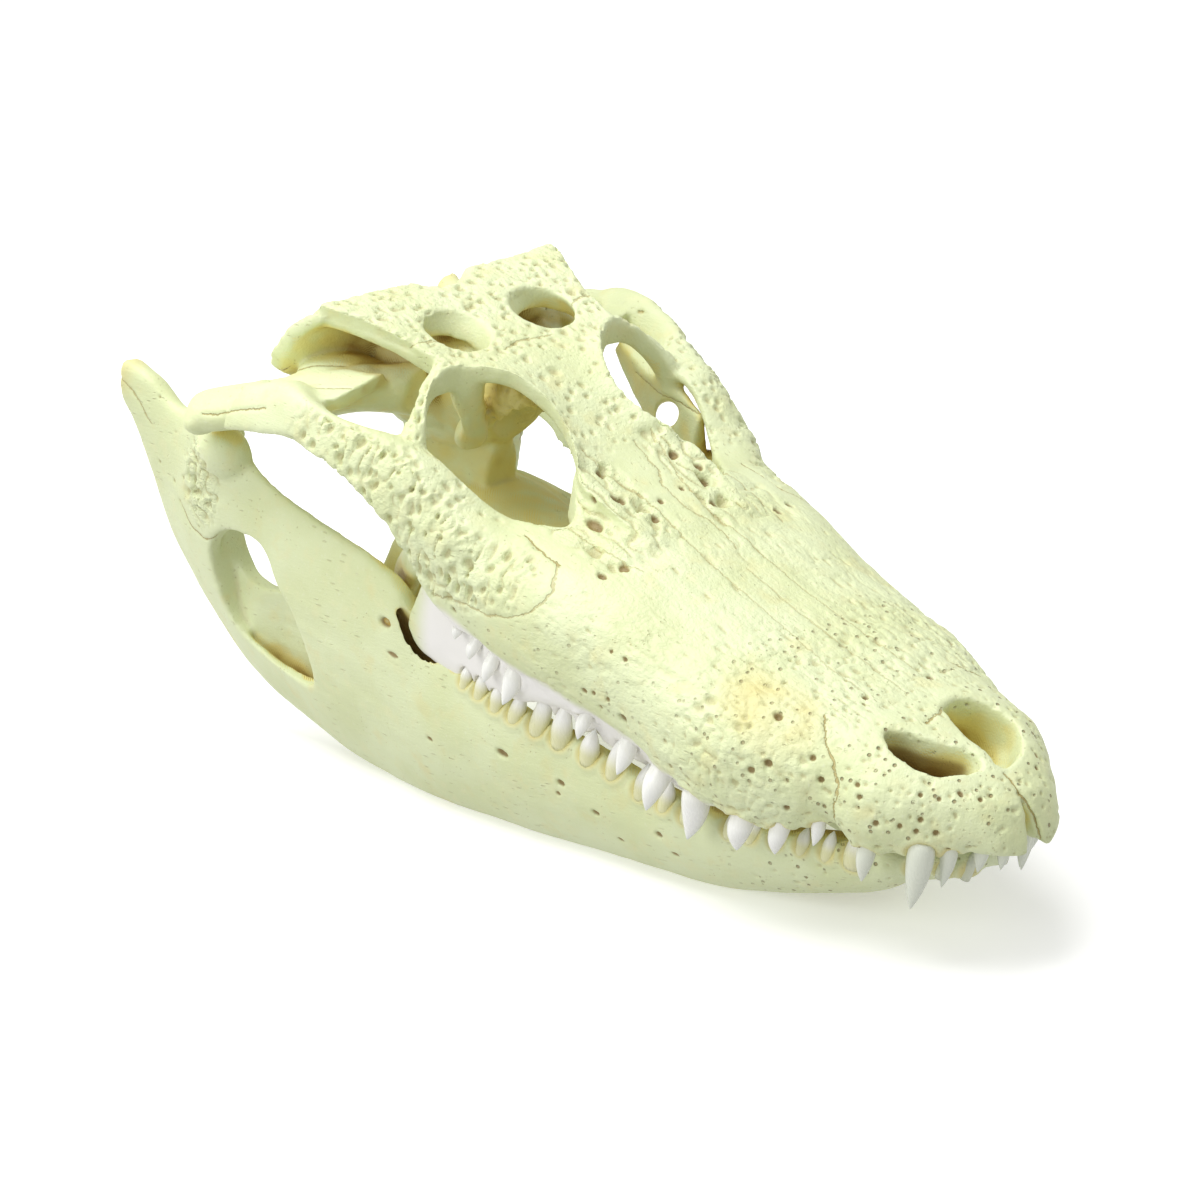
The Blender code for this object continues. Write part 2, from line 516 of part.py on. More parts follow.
def thin(bone, share, partings):
    """Spends a bone's faces where its form bends, and keeps it off its neighbours."""
    step = bone.modifiers.new("thin", "DECIMATE")
    step.ratio = share
    bake(bone)
    keep_largest(bone)
    settle(bone, partings)
    clear_neighbours(bone, partings)


def clear_neighbours(bone, partings):
    """Cuts a bone free where one of its faces still reaches across the corner of a neighbour."""
    points = np.array([vert.co for vert in bone.data.vertices]) / MM
    middles = np.array([points[list(edge.vertices)].mean(axis=0) for edge in bone.data.edges])
    for name, planes in partings.items():
        if name == bone.name:
            return
        if (over_planes(middles, planes)[0] < 0).all(axis=1).any():
            away = region(name + "_corner", planes, workshop, GAP / 2)
            cut(bone, away)
            keep_largest(bone)
            bpy.data.objects.remove(away, do_unlink=True)


def over_planes(points, planes, grow=0.0):
    """How far each point lies outside each plane, and the planes' unit normals."""
    normals = np.array([normal for normal, distance in planes], float)
    sizes = np.linalg.norm(normals, axis=1)
    distances = np.array([distance for normal, distance in planes]) / sizes + grow
    normals /= sizes[:, None]
    return points @ normals.T - distances, normals


def settle(bone, partings):
    """Puts points that thinning pushed over a parting plane back onto that plane."""
    points = np.array([vert.co for vert in bone.data.vertices]) / MM
    for name, planes in partings.items():
        if name == bone.name:
            for plane in planes:
                over, normals = over_planes(points, [plane])
                points -= np.clip(over, 0, None) * normals[0]
            break
        over, normals = over_planes(points, planes, GAP)
        inside = np.flatnonzero((over < 0).all(axis=1))
        nearest = over[inside].argmax(axis=1)
        points[inside] -= normals[nearest] * over[inside, nearest][:, None]
    for vert, point in zip(bone.data.vertices, points):
        vert.co = Vector(point) * MM


def keep_largest(body):
    """Mends tiny faults and drops loose scraps: only the surface with the most points stays."""
    shell = bmesh.new()
    shell.from_mesh(body.data)
    bmesh.ops.dissolve_degenerate(shell, dist=TINY * MM, edges=shell.edges)
    flaps = [face for face in shell.faces if any(len(edge.link_faces) == 1 for edge in face.edges)]
    while flaps:
        bmesh.ops.delete(shell, geom=flaps, context="FACES")
        flaps = [face for face in shell.faces if any(len(edge.link_faces) == 1 for edge in face.edges)]
    seen, groups = set(), []
    for start in shell.verts:
        if start in seen:
            continue
        group, edge = [], [start]
        seen.add(start)
        while edge:
            vert = edge.pop()
            group.append(vert)
            for link in vert.link_edges:
                other = link.other_vert(vert)
                if other not in seen:
                    seen.add(other)
                    edge.append(other)
        groups.append(group)
    groups.sort(key=len, reverse=True)
    extra = [vert for group in groups[1:] for vert in group]
    bmesh.ops.delete(shell, geom=extra, context="VERTS")
    bmesh.ops.triangulate(shell, faces=[face for face in shell.faces if len(face.verts) > 4])
    shell.to_mesh(body.data)
    shell.free()


def tooth(name, root, tip, radius, home):
    """A conical crown with a sunk root: root and tip are points, radius is at the gum."""
    root, tip = Vector(root), Vector(tip)
    along = tip - root
    up = along.normalized()
    side = up.cross(Vector((0, 1, 0))).normalized()
    back = up.cross(side).normalized()
    rings = []
    for way, wide in ((-TOOTH_SUNK / along.length, 0.8), (0.0, 1.0), (0.62, 0.76), (1.0, 0.1)):
        rings.append(oval(root + along * way, side * radius * wide, back * radius * wide, TOOTH_SIDES))
    return loft(name, rings, home)


def front_teeth(home, right=False):
    """The five teeth at one side of the snout's tip, with the heights of that side."""
    rows = []
    for k, (x, y, right_height, left_height, radius) in enumerate(FRONT_TEETH):
        foot = smooth(TOOTH_EDGE, max(y - 4, 0)) + 0.5
        tip = (x + 0.5, y - 0.5, foot - (right_height if right else left_height))
        rows.append(tooth(f"front_tooth_{k}", (x, y, foot), tip, radius, home))
    return rows


def cheek_teeth(home):
    rows = []
    for k, (y, height, radius) in enumerate(CHEEK_TEETH):
        x, foot = smooth(HALF_WIDTH, y) - 6.4, smooth(TOOTH_EDGE, y) + 0.8 - 0.28 * smooth(INNER_RIDGE, y)
        tilt = smooth(TOOTH_TILT, y) * height / 14
        rows.append(tooth(f"cheek_tooth_{k}", (x, y, foot), (x + tilt, y, foot - height), radius, home))
    return rows


def lower_teeth(home, grow=0.0):
    rows = []
    for k, (y, height, radius) in enumerate(LOWER_TEETH):
        x, foot = lower_tooth_place(y)
        tip = (x - 1, y, foot + height + 1.5 * grow)
        rows.append(tooth(f"lower_tooth_{k}", (x, y, foot), tip, radius + grow, home))
    return rows


def lower_tooth_place(y):
    top = smooth(JAW_TOP, y)
    return top[0] - LOWER_INSET * min(1, top[0] / 25), top[1] - 2.0


def region(name, planes, home, grow=0.0):
    """A convex block: the part of space inside every (normal, distance) plane, in millimetres."""
    shell = bmesh.new()
    bmesh.ops.create_cube(shell, size=1.2)
    for normal, distance in planes:
        normal = Vector(normal)
        out = normal.normalized()
        point = out * (distance / normal.length + grow) * MM
        loose = bmesh.ops.bisect_plane(shell, geom=shell.verts[:] + shell.edges[:] + shell.faces[:],
                                       plane_co=point, plane_no=out, clear_outer=True)
        rim = [item for item in loose["geom_cut"] if isinstance(item, bmesh.types.BMEdge)]
        bmesh.ops.holes_fill(shell, edges=rim, sides=0)
    bmesh.ops.recalc_face_normals(shell, faces=shell.faces)
    mesh = bpy.data.meshes.new(name)
    shell.to_mesh(mesh)
    shell.free()
    made = bpy.data.objects.new(name, mesh)
    home.objects.link(made)
    return made


def take(rest, name, planes):
    """Parts one bone off the rest along the planes, with a thin gap between the two."""
    bone = bpy.data.objects.new(name, rest.data.copy())
    bones.objects.link(bone)
    partings[rest.name][name] = planes
    keep = region(name + "_keep", planes, workshop)
    away = region(name + "_away", planes, workshop, GAP)
    cut(bone, keep, "INTERSECT")
    cut(rest, away)
    for cutter in (keep, away):
        bpy.data.objects.remove(cutter, do_unlink=True)
    keep_largest(bone)
    return bone


def take_pair(rest, name, planes):
    """Parts a left bone and its right twin off the rest; the gap between them is the middle plane."""
    left = take(rest, name + "_left", planes + [((-1, 0, 0), -GAP / 2)])
    flipped = [((-n[0], n[1], n[2]), d) for n, d in planes]
    right = take(rest, name + "_right", flipped + [((1, 0, 0), 0)])
    return left, right


def part_upper(rest):
    """Parts the upper skull into its bones, front to back; what is left is the braincase."""
    take(rest, "nasals", [((1, 0, 0), 9), ((-1, 0, 0), 9), ((0, 1, 0), 168), ((0, -1, 0), -27),
                          ((0, 0.115, -1), -12.7)])
    premaxillae = take_pair(rest, "premaxilla", [((0.6, 1, 0), 71)])
    take_pair(rest, "prefrontal", [((0, -1, 0), -146), ((0, 1, 0), 196), ((0, 0, -1), -27), ((-1, 0, 0), -9.3),
                                   ((1, -0.35, 0), -31), ((1, 0.3, 0), 83)])
    take(rest, "frontal", [((1, 0, 0), 34), ((-1, 0, 0), 34), ((0, -1, 0), -160), ((0, 1, 0), 238),
                           ((0, 0, -1), -32), ((1, 0.9, 0), 247), ((-1, 0.9, 0), 247)])
    take_pair(rest, "lacrimal", [((0, -1, 0), -150), ((0, 0, -1), -24), ((0, 1, 0), 186), ((1, 0, 0), 43),
                                 ((-1, 0.35, 0), 31)])
    take_pair(rest, "jugal", [((-0.25, -1, -0.1), -184), ((0, 1, 0), 259.6), ((0, 0, 1), 48), ((-1, -0.5, 0), -136),
                              ((-1, -0.1, -0.2), -64), ((0, -0.5, -1), -100), ((0, 0, -1), 4)])
    take(rest, "palatines", [((1, 0, 0), 13), ((-1, 0, 0), 13), ((0, -1, 0), -118), ((0, 1, 0), 214),
                             ((0, 0, 1), 8)])
    maxillae = take_pair(rest, "maxilla", [((0, 1, 0), 205), ((0.05, 1, -1.2), 206)])
    take(rest, "parietal", [((1, 0, 0), 12), ((-1, 0, 0), 12), ((0, 0, -1), -50), ((0, -1, 0), -237)])
    take_pair(rest, "postorbital", [((0, 1, 0), 251), ((0, 0, -1), -41), ((-1, 0, 0), -12)])
    take_pair(rest, "squamosal", [((0, -1, 0), -250), ((0, 0.35, -1), 43.5), ((-1, 0, 0), -12)])
    take_pair(rest, "quadratojugal", [((0, -1, 0), -258), ((-1, 0.42, 0), 49.5), ((0, 0, 1), 49)])
    take_pair(rest, "quadrate", [((-1, 0, 0), -27), ((0, -1, 0), -250), ((0, 0.2, -1), 42)])
    take_pair(rest, "ectopterygoid", [((-1, -0.2, 0.35), -88), ((0, 1, 0), 262)])
    take(rest, "pterygoids", [((0, -0.2, 1), -46)])
    return premaxillae, maxillae


def part_lower(rest):
    """Parts the lower jaw into its bones; what is left of each side is its surangular."""
    dentaries = take_pair(rest, "dentary", [((0, 1, 0.25), 216), ((0, 1, -0.45), 262)])
    take_pair(rest, "articular", [((0, -1, -0.25), -297), ((0, -0.9, -1), -262), ((0, 0, -1), 20)])
    take_pair(rest, "angular", [((0, -0.15, 1), -85)])
    return dentaries


def fuse_teeth(pair, left_teeth, right_teeth, home):
    """Joins each bone of a pair with its teeth; the right ones come unmirrored."""
    join(pair[0], left_teeth)
    join(pair[1], [mirrored(piece, home) for piece in right_teeth])
    for piece in right_teeth:
        bpy.data.objects.remove(piece, do_unlink=True)
    for bone in pair:
        keep_largest(bone)


def paint(thing, colour):
    material = bpy.data.materials.new(thing.name + "_bone")
    material.use_nodes = True
    shader = material.node_tree.nodes["Principled BSDF"]
    shader.inputs["Base Color"].default_value = colour
    shader.inputs["Roughness"].default_value = 0.55
    shader.inputs["Metallic"].default_value = 0.0
    thing.data.materials.clear()
    thing.data.materials.append(material)


def lowest(things):
    return min(v.co.z for thing in things for v in thing.data.vertices)


clear_scene()
bones = collection("alligator_skull")
workshop = collection("workshop")
partings = {"braincase": {}, "mandible": {}}
side, middle = upper_cutters(workshop)
upper = fused("braincase", upper_solids(workshop), both_sides(side, workshop) + middle, UPPER_VOXEL)
right_cutters = lower_cutters(workshop)
jaw_cutters = lower_cutters(workshop, WINDOW_LIFT) + [mirrored(piece, workshop) for piece in right_cutters]
lower = fused("mandible", both_sides(jaw_side(workshop), workshop), jaw_cutters, LOWER_VOXEL)
bones.objects.link(upper)

premaxillae, maxillae = part_upper(upper)
dentaries = part_lower(lower)
take_pair(lower, "surangular", [((0, -1, 0), 0)])
bpy.data.objects.remove(lower, do_unlink=True)
for bone in bones.objects:
    if bone.name in partings["mandible"]:
        thin(bone, LOWER_SHARE, partings["mandible"])
    else:
        thin(bone, UPPER_SHARE, partings["braincase"])
for bone in premaxillae + maxillae:
    for pit in both_sides(lower_teeth(workshop, PIT_GAP), workshop):
        cut(bone, pit)
fuse_teeth(premaxillae, front_teeth(workshop), front_teeth(workshop, right=True), workshop)
fuse_teeth(maxillae, cheek_teeth(workshop), cheek_teeth(workshop), workshop)
fuse_teeth(dentaries, lower_teeth(workshop), lower_teeth(workshop), workshop)
for thing in list(workshop.objects):
    if thing.name not in bones.objects:
        bpy.data.objects.remove(thing, do_unlink=True)

tip_over = Matrix.Rotation(math.radians(NOSE_DOWN), 4, "X")
for thing in bones.objects:
    thing.data.transform(tip_over)
box = np.array([v.co for thing in bones.objects for v in thing.data.vertices])
centre = (box.min(axis=0) + box.max(axis=0)) / 2
floor = lowest(bones.objects) + FLAT_DEPTH * MM
set_down = Matrix.Translation((0, -centre[1], -floor))
for thing in bones.objects:
    thing.data.transform(set_down)
    if lowest([thing]) < 0:
        under = region("under", [((0, 0, 1), 0)], workshop)
        cut(thing, under)
        bpy.data.objects.remove(under, do_unlink=True)
        keep_largest(thing)
    paint(thing, DARK_BONE if thing.name in INNER_BONES else BONE)
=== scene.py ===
# Fine surface, finish, light and camera of a life-size alligator skull.
# Shapes are in the skull's own frame, in millimetres: x to the animal's left, y back from
# the snout tip, z up from the upper tooth row. They are tipped and set down at the end.
import json
import math

import bmesh
import bpy
import numpy as np
from mathutils import Matrix, Vector
from mathutils.bvhtree import BVHTree
from mathutils.kdtree import KDTree

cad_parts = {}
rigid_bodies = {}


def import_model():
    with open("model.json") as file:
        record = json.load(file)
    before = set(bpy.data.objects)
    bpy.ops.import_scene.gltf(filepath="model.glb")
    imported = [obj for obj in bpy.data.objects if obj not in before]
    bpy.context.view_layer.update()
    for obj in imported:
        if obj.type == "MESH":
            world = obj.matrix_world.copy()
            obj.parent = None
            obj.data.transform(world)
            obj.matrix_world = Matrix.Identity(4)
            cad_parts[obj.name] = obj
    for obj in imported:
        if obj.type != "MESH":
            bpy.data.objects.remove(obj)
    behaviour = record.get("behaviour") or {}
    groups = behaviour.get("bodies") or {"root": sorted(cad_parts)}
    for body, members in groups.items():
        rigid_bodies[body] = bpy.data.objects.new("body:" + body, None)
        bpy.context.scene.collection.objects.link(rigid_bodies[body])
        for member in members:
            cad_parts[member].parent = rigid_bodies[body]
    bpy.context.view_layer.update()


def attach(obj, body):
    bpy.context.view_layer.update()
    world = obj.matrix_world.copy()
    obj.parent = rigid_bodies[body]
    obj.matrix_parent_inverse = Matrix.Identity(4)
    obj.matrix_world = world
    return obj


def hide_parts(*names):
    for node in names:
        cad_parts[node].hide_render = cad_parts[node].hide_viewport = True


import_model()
mm = 0.001
skin = {"voxel": 0.64, "easing": 3.8, "noseDown": 13.6, "flatDepth": 0.9}

print("stage: shape helpers")


def smooth(pairs, at):
    # reads a smooth curve through (station, value...) rows, without overshoot
    rows = np.array(pairs, float)
    x, values = rows[:, 0], rows[:, 1:]
    step = np.diff(x)[:, None]
    slope = np.diff(values, axis=0) / step
    tangent = np.zeros_like(values)
    tangent[0], tangent[-1] = slope[0], slope[-1]
    sameWay = slope[:-1] * slope[1:] > 0
    mean = 2 * slope[:-1] * slope[1:] / np.where(sameWay, slope[:-1] + slope[1:], 1)
    tangent[1:-1] = np.where(sameWay, mean, 0)
    at = np.clip(np.asarray(at, float), x[0], x[-1])
    i = np.clip(np.searchsorted(x, at, side="right") - 1, 0, len(x) - 2)
    h = step[i]
    t = ((at - x[i])[..., None]) / h
    out = ((2 * t**3 - 3 * t**2 + 1) * values[i] + (t**3 - 2 * t**2 + t) * h * tangent[i]
           + (3 * t**2 - 2 * t**3) * values[i + 1] + (t**3 - t**2) * h * tangent[i + 1])
    out = out[..., 0] if values.shape[1] == 1 else out
    return float(out) if out.ndim == 0 else out


def meshObject(name, points, faces):
    mesh = bpy.data.meshes.new(name)
    mesh.from_pydata([tuple(p) for p in points], [], faces)
    mesh.validate()
    shell = bmesh.new()
    shell.from_mesh(mesh)
    bmesh.ops.recalc_face_normals(shell, faces=shell.faces)
    bmesh.ops.triangulate(shell, faces=[f for f in shell.faces if len(f.verts) > 4])
    shell.to_mesh(mesh)
    shell.free()
    made = bpy.data.objects.new(name, mesh)
    bpy.context.scene.collection.objects.link(made)
    return made


def loft(name, rings):
    n = len(rings[0])
    points = [p for ring in rings for p in ring]
    faces = []
    for r in range(len(rings) - 1):
        for k in range(n):
            a, b = r * n + k, r * n + (k + 1) % n
            faces.append((a, b, b + n, a + n))
    faces.append(tuple(range(n)))
    faces.append(tuple(range((len(rings) - 1) * n, len(rings) * n)))
    return meshObject(name, points, faces)


def oval(centre, across, up, n=20, power=2.0):
    centre, across, up = Vector(centre), Vector(across), Vector(up)
    ring = []
    for k in range(n):
        angle = 2 * math.pi * k / n
        c, s = math.cos(angle), math.sin(angle)
        ring.append(centre + across * math.copysign(abs(c) ** (2 / power), c)
                    + up * math.copysign(abs(s) ** (2 / power), s))
    return ring


def rod(name, route, n=18, steps=26, flat=(0, 0, 1)):
    # a bone rod along a smooth route of (x, y, z, half width, half height)
    keys = [(k,) + tuple(row) for k, row in enumerate(route)]
    stations = [smooth(keys, t) for t in np.linspace(0, len(route) - 1, steps)]
    rings = []
    for k, s in enumerate(stations):
        before, after = stations[max(k - 1, 0)], stations[min(k + 1, steps - 1)]
        along = Vector(after[:3] - before[:3]).normalized()
        across = along.cross(Vector(flat)).normalized()
        up = across.cross(along).normalized()
        rings.append(oval(s[:3], across * s[3], up * s[4], n))
    return loft(name, rings)


def plate(name, outline, thick, along):
    push = Vector(along).normalized() * thick / 2
    faceA = [Vector(p) + push for p in outline]
    faceB = [Vector(p) - push for p in outline]
    return loft(name, [faceA, faceB])


def ball(name, centre, radii, turn=0.0):
    shell = bmesh.new()
    bmesh.ops.create_uvsphere(shell, u_segments=36, v_segments=24, radius=1.0)
    place = (Matrix.Translation(Vector(centre)) @ Matrix.Rotation(math.radians(turn), 4, "Z")
             @ Matrix.Diagonal((*radii, 1)))
    bmesh.ops.transform(shell, matrix=place, verts=shell.verts)
    mesh = bpy.data.meshes.new(name)
    shell.to_mesh(mesh)
    shell.free()
    made = bpy.data.objects.new(name, mesh)
    bpy.context.scene.collection.objects.link(made)
    return made


def mirrored(piece):
    mesh = piece.data.copy()
    mesh.transform(Matrix.Diagonal((-1, 1, 1, 1)))
    mesh.flip_normals()
    made = bpy.data.objects.new(piece.name + "Mirror", mesh)
    bpy.context.scene.collection.objects.link(made)
    return made


def bothSides(made):
    return made + [mirrored(piece) for piece in made]


def closedCurve(corners, steps):
    # a smooth closed outline through its corners, with steps points for each stretch
    n = len(corners)
    rows = []
    for k in range(n):
        p0, p1, p2, p3 = (np.array(corners[(k + j - 1) % n], float) for j in range(4))
        for t in np.arange(steps) / steps:
            rows.append(tuple(0.5 * (2 * p1 + (p2 - p0) * t + (2 * p0 - 5 * p1 + 4 * p2 - p3) * t**2
                                     + (3 * p1 - p0 - 3 * p2 + p3) * t**3)))
    return rows


def tunnel(name, rings, power=2.0, n=32):
    # a cutter through level ovals: (x, y, z, half length across, half length along, turn)
    made = []
    for x, y, z, rx, ry, turn in rings:
        a = math.radians(turn)
        across = Vector((math.cos(a), math.sin(a), 0)) * rx
        along = Vector((-math.sin(a), math.cos(a), 0)) * ry
        made.append(oval((x, y, z), across, along, n, power))
    return loft(name, made)


def bake(target):
    bpy.context.view_layer.update()
    seen = target.evaluated_get(bpy.context.evaluated_depsgraph_get())
    mesh = bpy.data.meshes.new_from_object(seen)
    old = target.data
    target.modifiers.clear()
    target.data = mesh
    bpy.data.meshes.remove(old)


def join(target, made):
    batch = bpy.data.collections.new("batch")
    for piece in made:
        batch.objects.link(piece)
    step = target.modifiers.new("join", "BOOLEAN")
    step.operation, step.operand_type, step.collection, step.solver = "UNION", "COLLECTION", batch, "MANIFOLD"
    bake(target)
    bpy.data.collections.remove(batch)
    for piece in made:
        bpy.data.objects.remove(piece, do_unlink=True)


def cut(target, cutter, operation="DIFFERENCE"):
    step = target.modifiers.new("cut", "BOOLEAN")
    step.operation, step.object, step.solver = operation, cutter, "MANIFOLD"
    bake(target)


def keepLargest(body):
    shell = bmesh.new()
    shell.from_mesh(body.data)
    seen, groups = set(), []
    for start in shell.verts:
        if start in seen:
            continue
        group, edge = [], [start]
        seen.add(start)
        while edge:
            vert = edge.pop()
            group.append(vert)
            for link in vert.link_edges:
                other = link.other_vert(vert)
                if other not in seen:
                    seen.add(other)
                    edge.append(other)
        groups.append(group)
    groups.sort(key=len, reverse=True)
    bmesh.ops.delete(shell, geom=[vert for group in groups[1:] for vert in group], context="VERTS")
    shell.to_mesh(body.data)
    shell.free()


def fused(name, solids, cutters):
    # fuses the solids, opens them with the cutters and wraps them in one fine, even skin
    body = solids[0]
    join(body, solids[1:])
    for cutter in cutters:
        cut(body, cutter)
        bpy.data.objects.remove(cutter, do_unlink=True)
    keepLargest(body)
    body.name = name
    coarse = body.data.copy()
    wrap = body.modifiers.new("wrap", "REMESH")
    wrap.mode, wrap.voxel_size, wrap.adaptivity = "VOXEL", skin["voxel"], 0.0
    ease = body.modifiers.new("ease", "SMOOTH")
    ease.factor, ease.iterations = 0.5, round((skin["easing"] / skin["voxel"]) ** 2)
    bake(body)
    return body, coarse


print("stage: upper jaw and skull")
snout = {
    "halfWidth": [(0, 6.5), (2, 10.6), (5, 14.1), (8, 16.8), (12, 20.2), (20, 27), (30, 34.5), (40, 38.5),
                  (48, 38.5),
                  (58, 43.5), (70, 49), (85, 53.5), (100, 54.3), (115, 54), (130, 55.5), (150, 60),
                  (170, 63.5),
                  (192, 66.5)],
    "roof": [(0, 9), (4, 15.5), (10, 21.5), (20, 25), (35, 27.5), (60, 28.5), (80, 29.5), (110, 31.5),
             (140, 35.5), (165, 40.5), (192, 46)],
    "shoulder": [(0, 9), (4, 15.5), (10, 21), (20, 25), (35, 27.5), (60, 28), (85, 28.5), (110, 30.5),
                 (140, 34), (165, 35), (180, 34.5), (192, 33)],
    "toothEdge": [(0, 7), (12, 5.5), (20, 2), (28, -1), (40, -3.5), (49, -0.5), (57, -6), (68, -10.5),
                  (90, -11), (110, -9.5), (122, -8), (150, -6), (173, -4.5), (185, -1), (192, 1.5)],
    "squareness": [(0, 2.0), (30, 2.8), (60, 3.1), (120, 3.3), (192, 3.6)],
    "innerRidge": [(0, 0), (80, 1), (105, 10.5), (130, 14), (180, 16), (192, 14)],
    # the cleft of the tip: height, back, half width at its open end
    "notch": [(-14, 11, 6), (7, 10.5, 5.5), (13, 11.2, 4.5), (17.5, 12.7, 3.2), (20, 14.5, 2.2),
              (24, 17, 1.2),
              (28, 19, 0.8)],
    "rightNostril": [(18.5, 48.5), (22, 43), (22.5, 37), (21, 31), (17.5, 26.5), (11.5, 23.5), (4.5, 22.5),
                     (2.6, 27), (5, 31.5), (8.5, 35.5), (11, 39.5), (13.5, 45)],
    "leftNostril": [(5.5, 48), (12, 49), (18, 45), (20.5, 38), (20, 31), (16, 25.5), (9.5, 21), (2, 19.5),
                    (1.8, 26), (1.2, 32), (2, 38), (4, 44)],
    # height, share of the width, set back
    "nostrilLevels": [(45, 1, 0), (24, 1, 0), (17, 0.92, 2), (8, 0.7, 9)],
    "nostrilMiddle": (12, 35),
}
brow = {
    "halfWidth": [(150, 22), (180, 25), (190, 20), (200, 15.5), (210, 14), (218, 16), (226, 20), (233, 30),
                  (244, 37)],
    "height": [(150, 36.5), (180, 43), (200, 48.5), (220, 56), (235, 60), (244, 61)],
    "thick": 7.0,
}
table = {
    "side": [(236, 33), (246, 37), (258, 40), (270, 44.5), (280, 48.5), (289, 51)],
    "top": [(236, 60), (258, 62.8), (275, 64.1), (289, 63)],
    "thick": 9.0,
}
cheek = {
    "top": [(150, 44, 27), (170, 35, 30), (182, 36.5, 31), (194, 44.5, 34), (207, 49.5, 40.5), (218, 52, 44),
            (231, 54.5, 44.5), (241, 60, 43), (250, 64, 42.5), (259, 65, 44), (272, 63, 47), (285, 66, 41)],
    "foot": [(150, 56, 1), (170, 61.5, 2), (185, 65, 1), (197, 68, 5), (207, 71, 15.5), (217, 73.5, 26),
             (229, 75.5, 32), (244, 78, 37.5), (258, 80, 38.5), (272, 82, 34), (294, 84, 25.5)],
    "thick": [(150, 9), (185, 8.5), (215, 7), (240, 6), (265, 6), (294, 7)],
    "belly": [(150, 2), (170, 8), (185, 14), (192, 14.5), (200, 12), (214, 8.5), (235, 7.5), (255, 7.5),
              (272, 6.5), (285, 4.5), (294, 2)],
    "crest": 1.3,
}
eye = {
    "rim": [(31.5, 177.5), (39.5, 187), (46.7, 200), (51, 213), (50.5, 225), (43, 234.5), (32.5, 236),
            (21, 227), (14.5, 209), (19.5, 192)],
    "middle": (34, 206),
    "levels": ((-5, 0.62), (8, 0.85), (22, 1.0), (38, 1.04), (50, 1.0), (90, 1.0)),
}


def snoutRing(y):
    # tooth edge, bulging side, shoulder and raised middle of one section
    w, edge, roof = smooth(snout["halfWidth"], y), smooth(snout["toothEdge"], y), smooth(snout["shoulder"], y)
    crest = smooth(snout["roof"], y) - roof
    power, ridge = smooth(snout["squareness"], y), smooth(snout["innerRidge"], y)
    small = min(1.0, w / 30)
    waist = edge + 0.28 * (roof - edge)
    half = []
    for k in range(25):
        angle = math.pi / 2 * k / 24
        x = w * math.sin(angle) ** (2 / power)
        middle = 0.5 + 0.5 * math.cos(math.pi * min(max((x - 10) / 28, 0), 1))
        half.append((x, waist + (roof - waist) * math.cos(angle) ** (2 / power) + crest * middle))
    half += [(w - 1.6 * small, edge + 5 * small), (w - 4.5 * small, edge + 0.8 * small),
             (w - 7 * small, edge),
             (w - 13 * small, edge + 0.6 * small - ridge), (w - 17 * small, edge + 3 * small - ridge)]
    half.append((0, edge + 6 * small - 0.4 * ridge))
    left = [(x, y, z) for x, z in half]
    right = [(-x, y, z) for x, z in reversed(half[1:-1])]
    return left + right


def browRing(y, width, height, thick, rise):
    # a plate across the skull whose two edges stand higher than its middle
    top = [(width * u, y, height + rise * abs(u) ** 3) for u in np.linspace(-1, 1, 17)]
    under = [(0.94 * x, y, z - thick + 1.5 * (1 - abs(x) / width)) for x, y, z in reversed(top)]
    return top + under


def bladeRing(top, foot, thick, belly, y, crest=1.0, sink=0.0, n=30):
    # a slanting blade: rounded edges, bellied outwards, its inner foot higher and its inner top lower by sink
    top, foot = Vector((top[0], y, top[1])), Vector((foot[0], y, foot[1]))
    up = top - foot
    out = Vector((-up.z, 0, up.x)).normalized() * (-1 if up.z < 0 else 1)
    if out.x < 0:
        out = -out
    ring = []
    for k in range(n):
        angle = 2 * math.pi * k / n
        c, s = math.cos(angle), math.sin(angle)
        u = 0.5 - 0.5 * math.copysign(abs(c) ** 0.85, c)
        side = math.copysign(abs(s) ** 0.6, s) * thick / 2
        bulge = belly * math.sin(math.pi * u ** crest)
        if s < 0:
            u = 1 - (1 - u) * 0.88
        u -= min(sink / up.length, 0.15) * u**2 * (0.5 - side / thick)
        ring.append(foot + up * u + out * (side + bulge - thick / 2))
    return ring


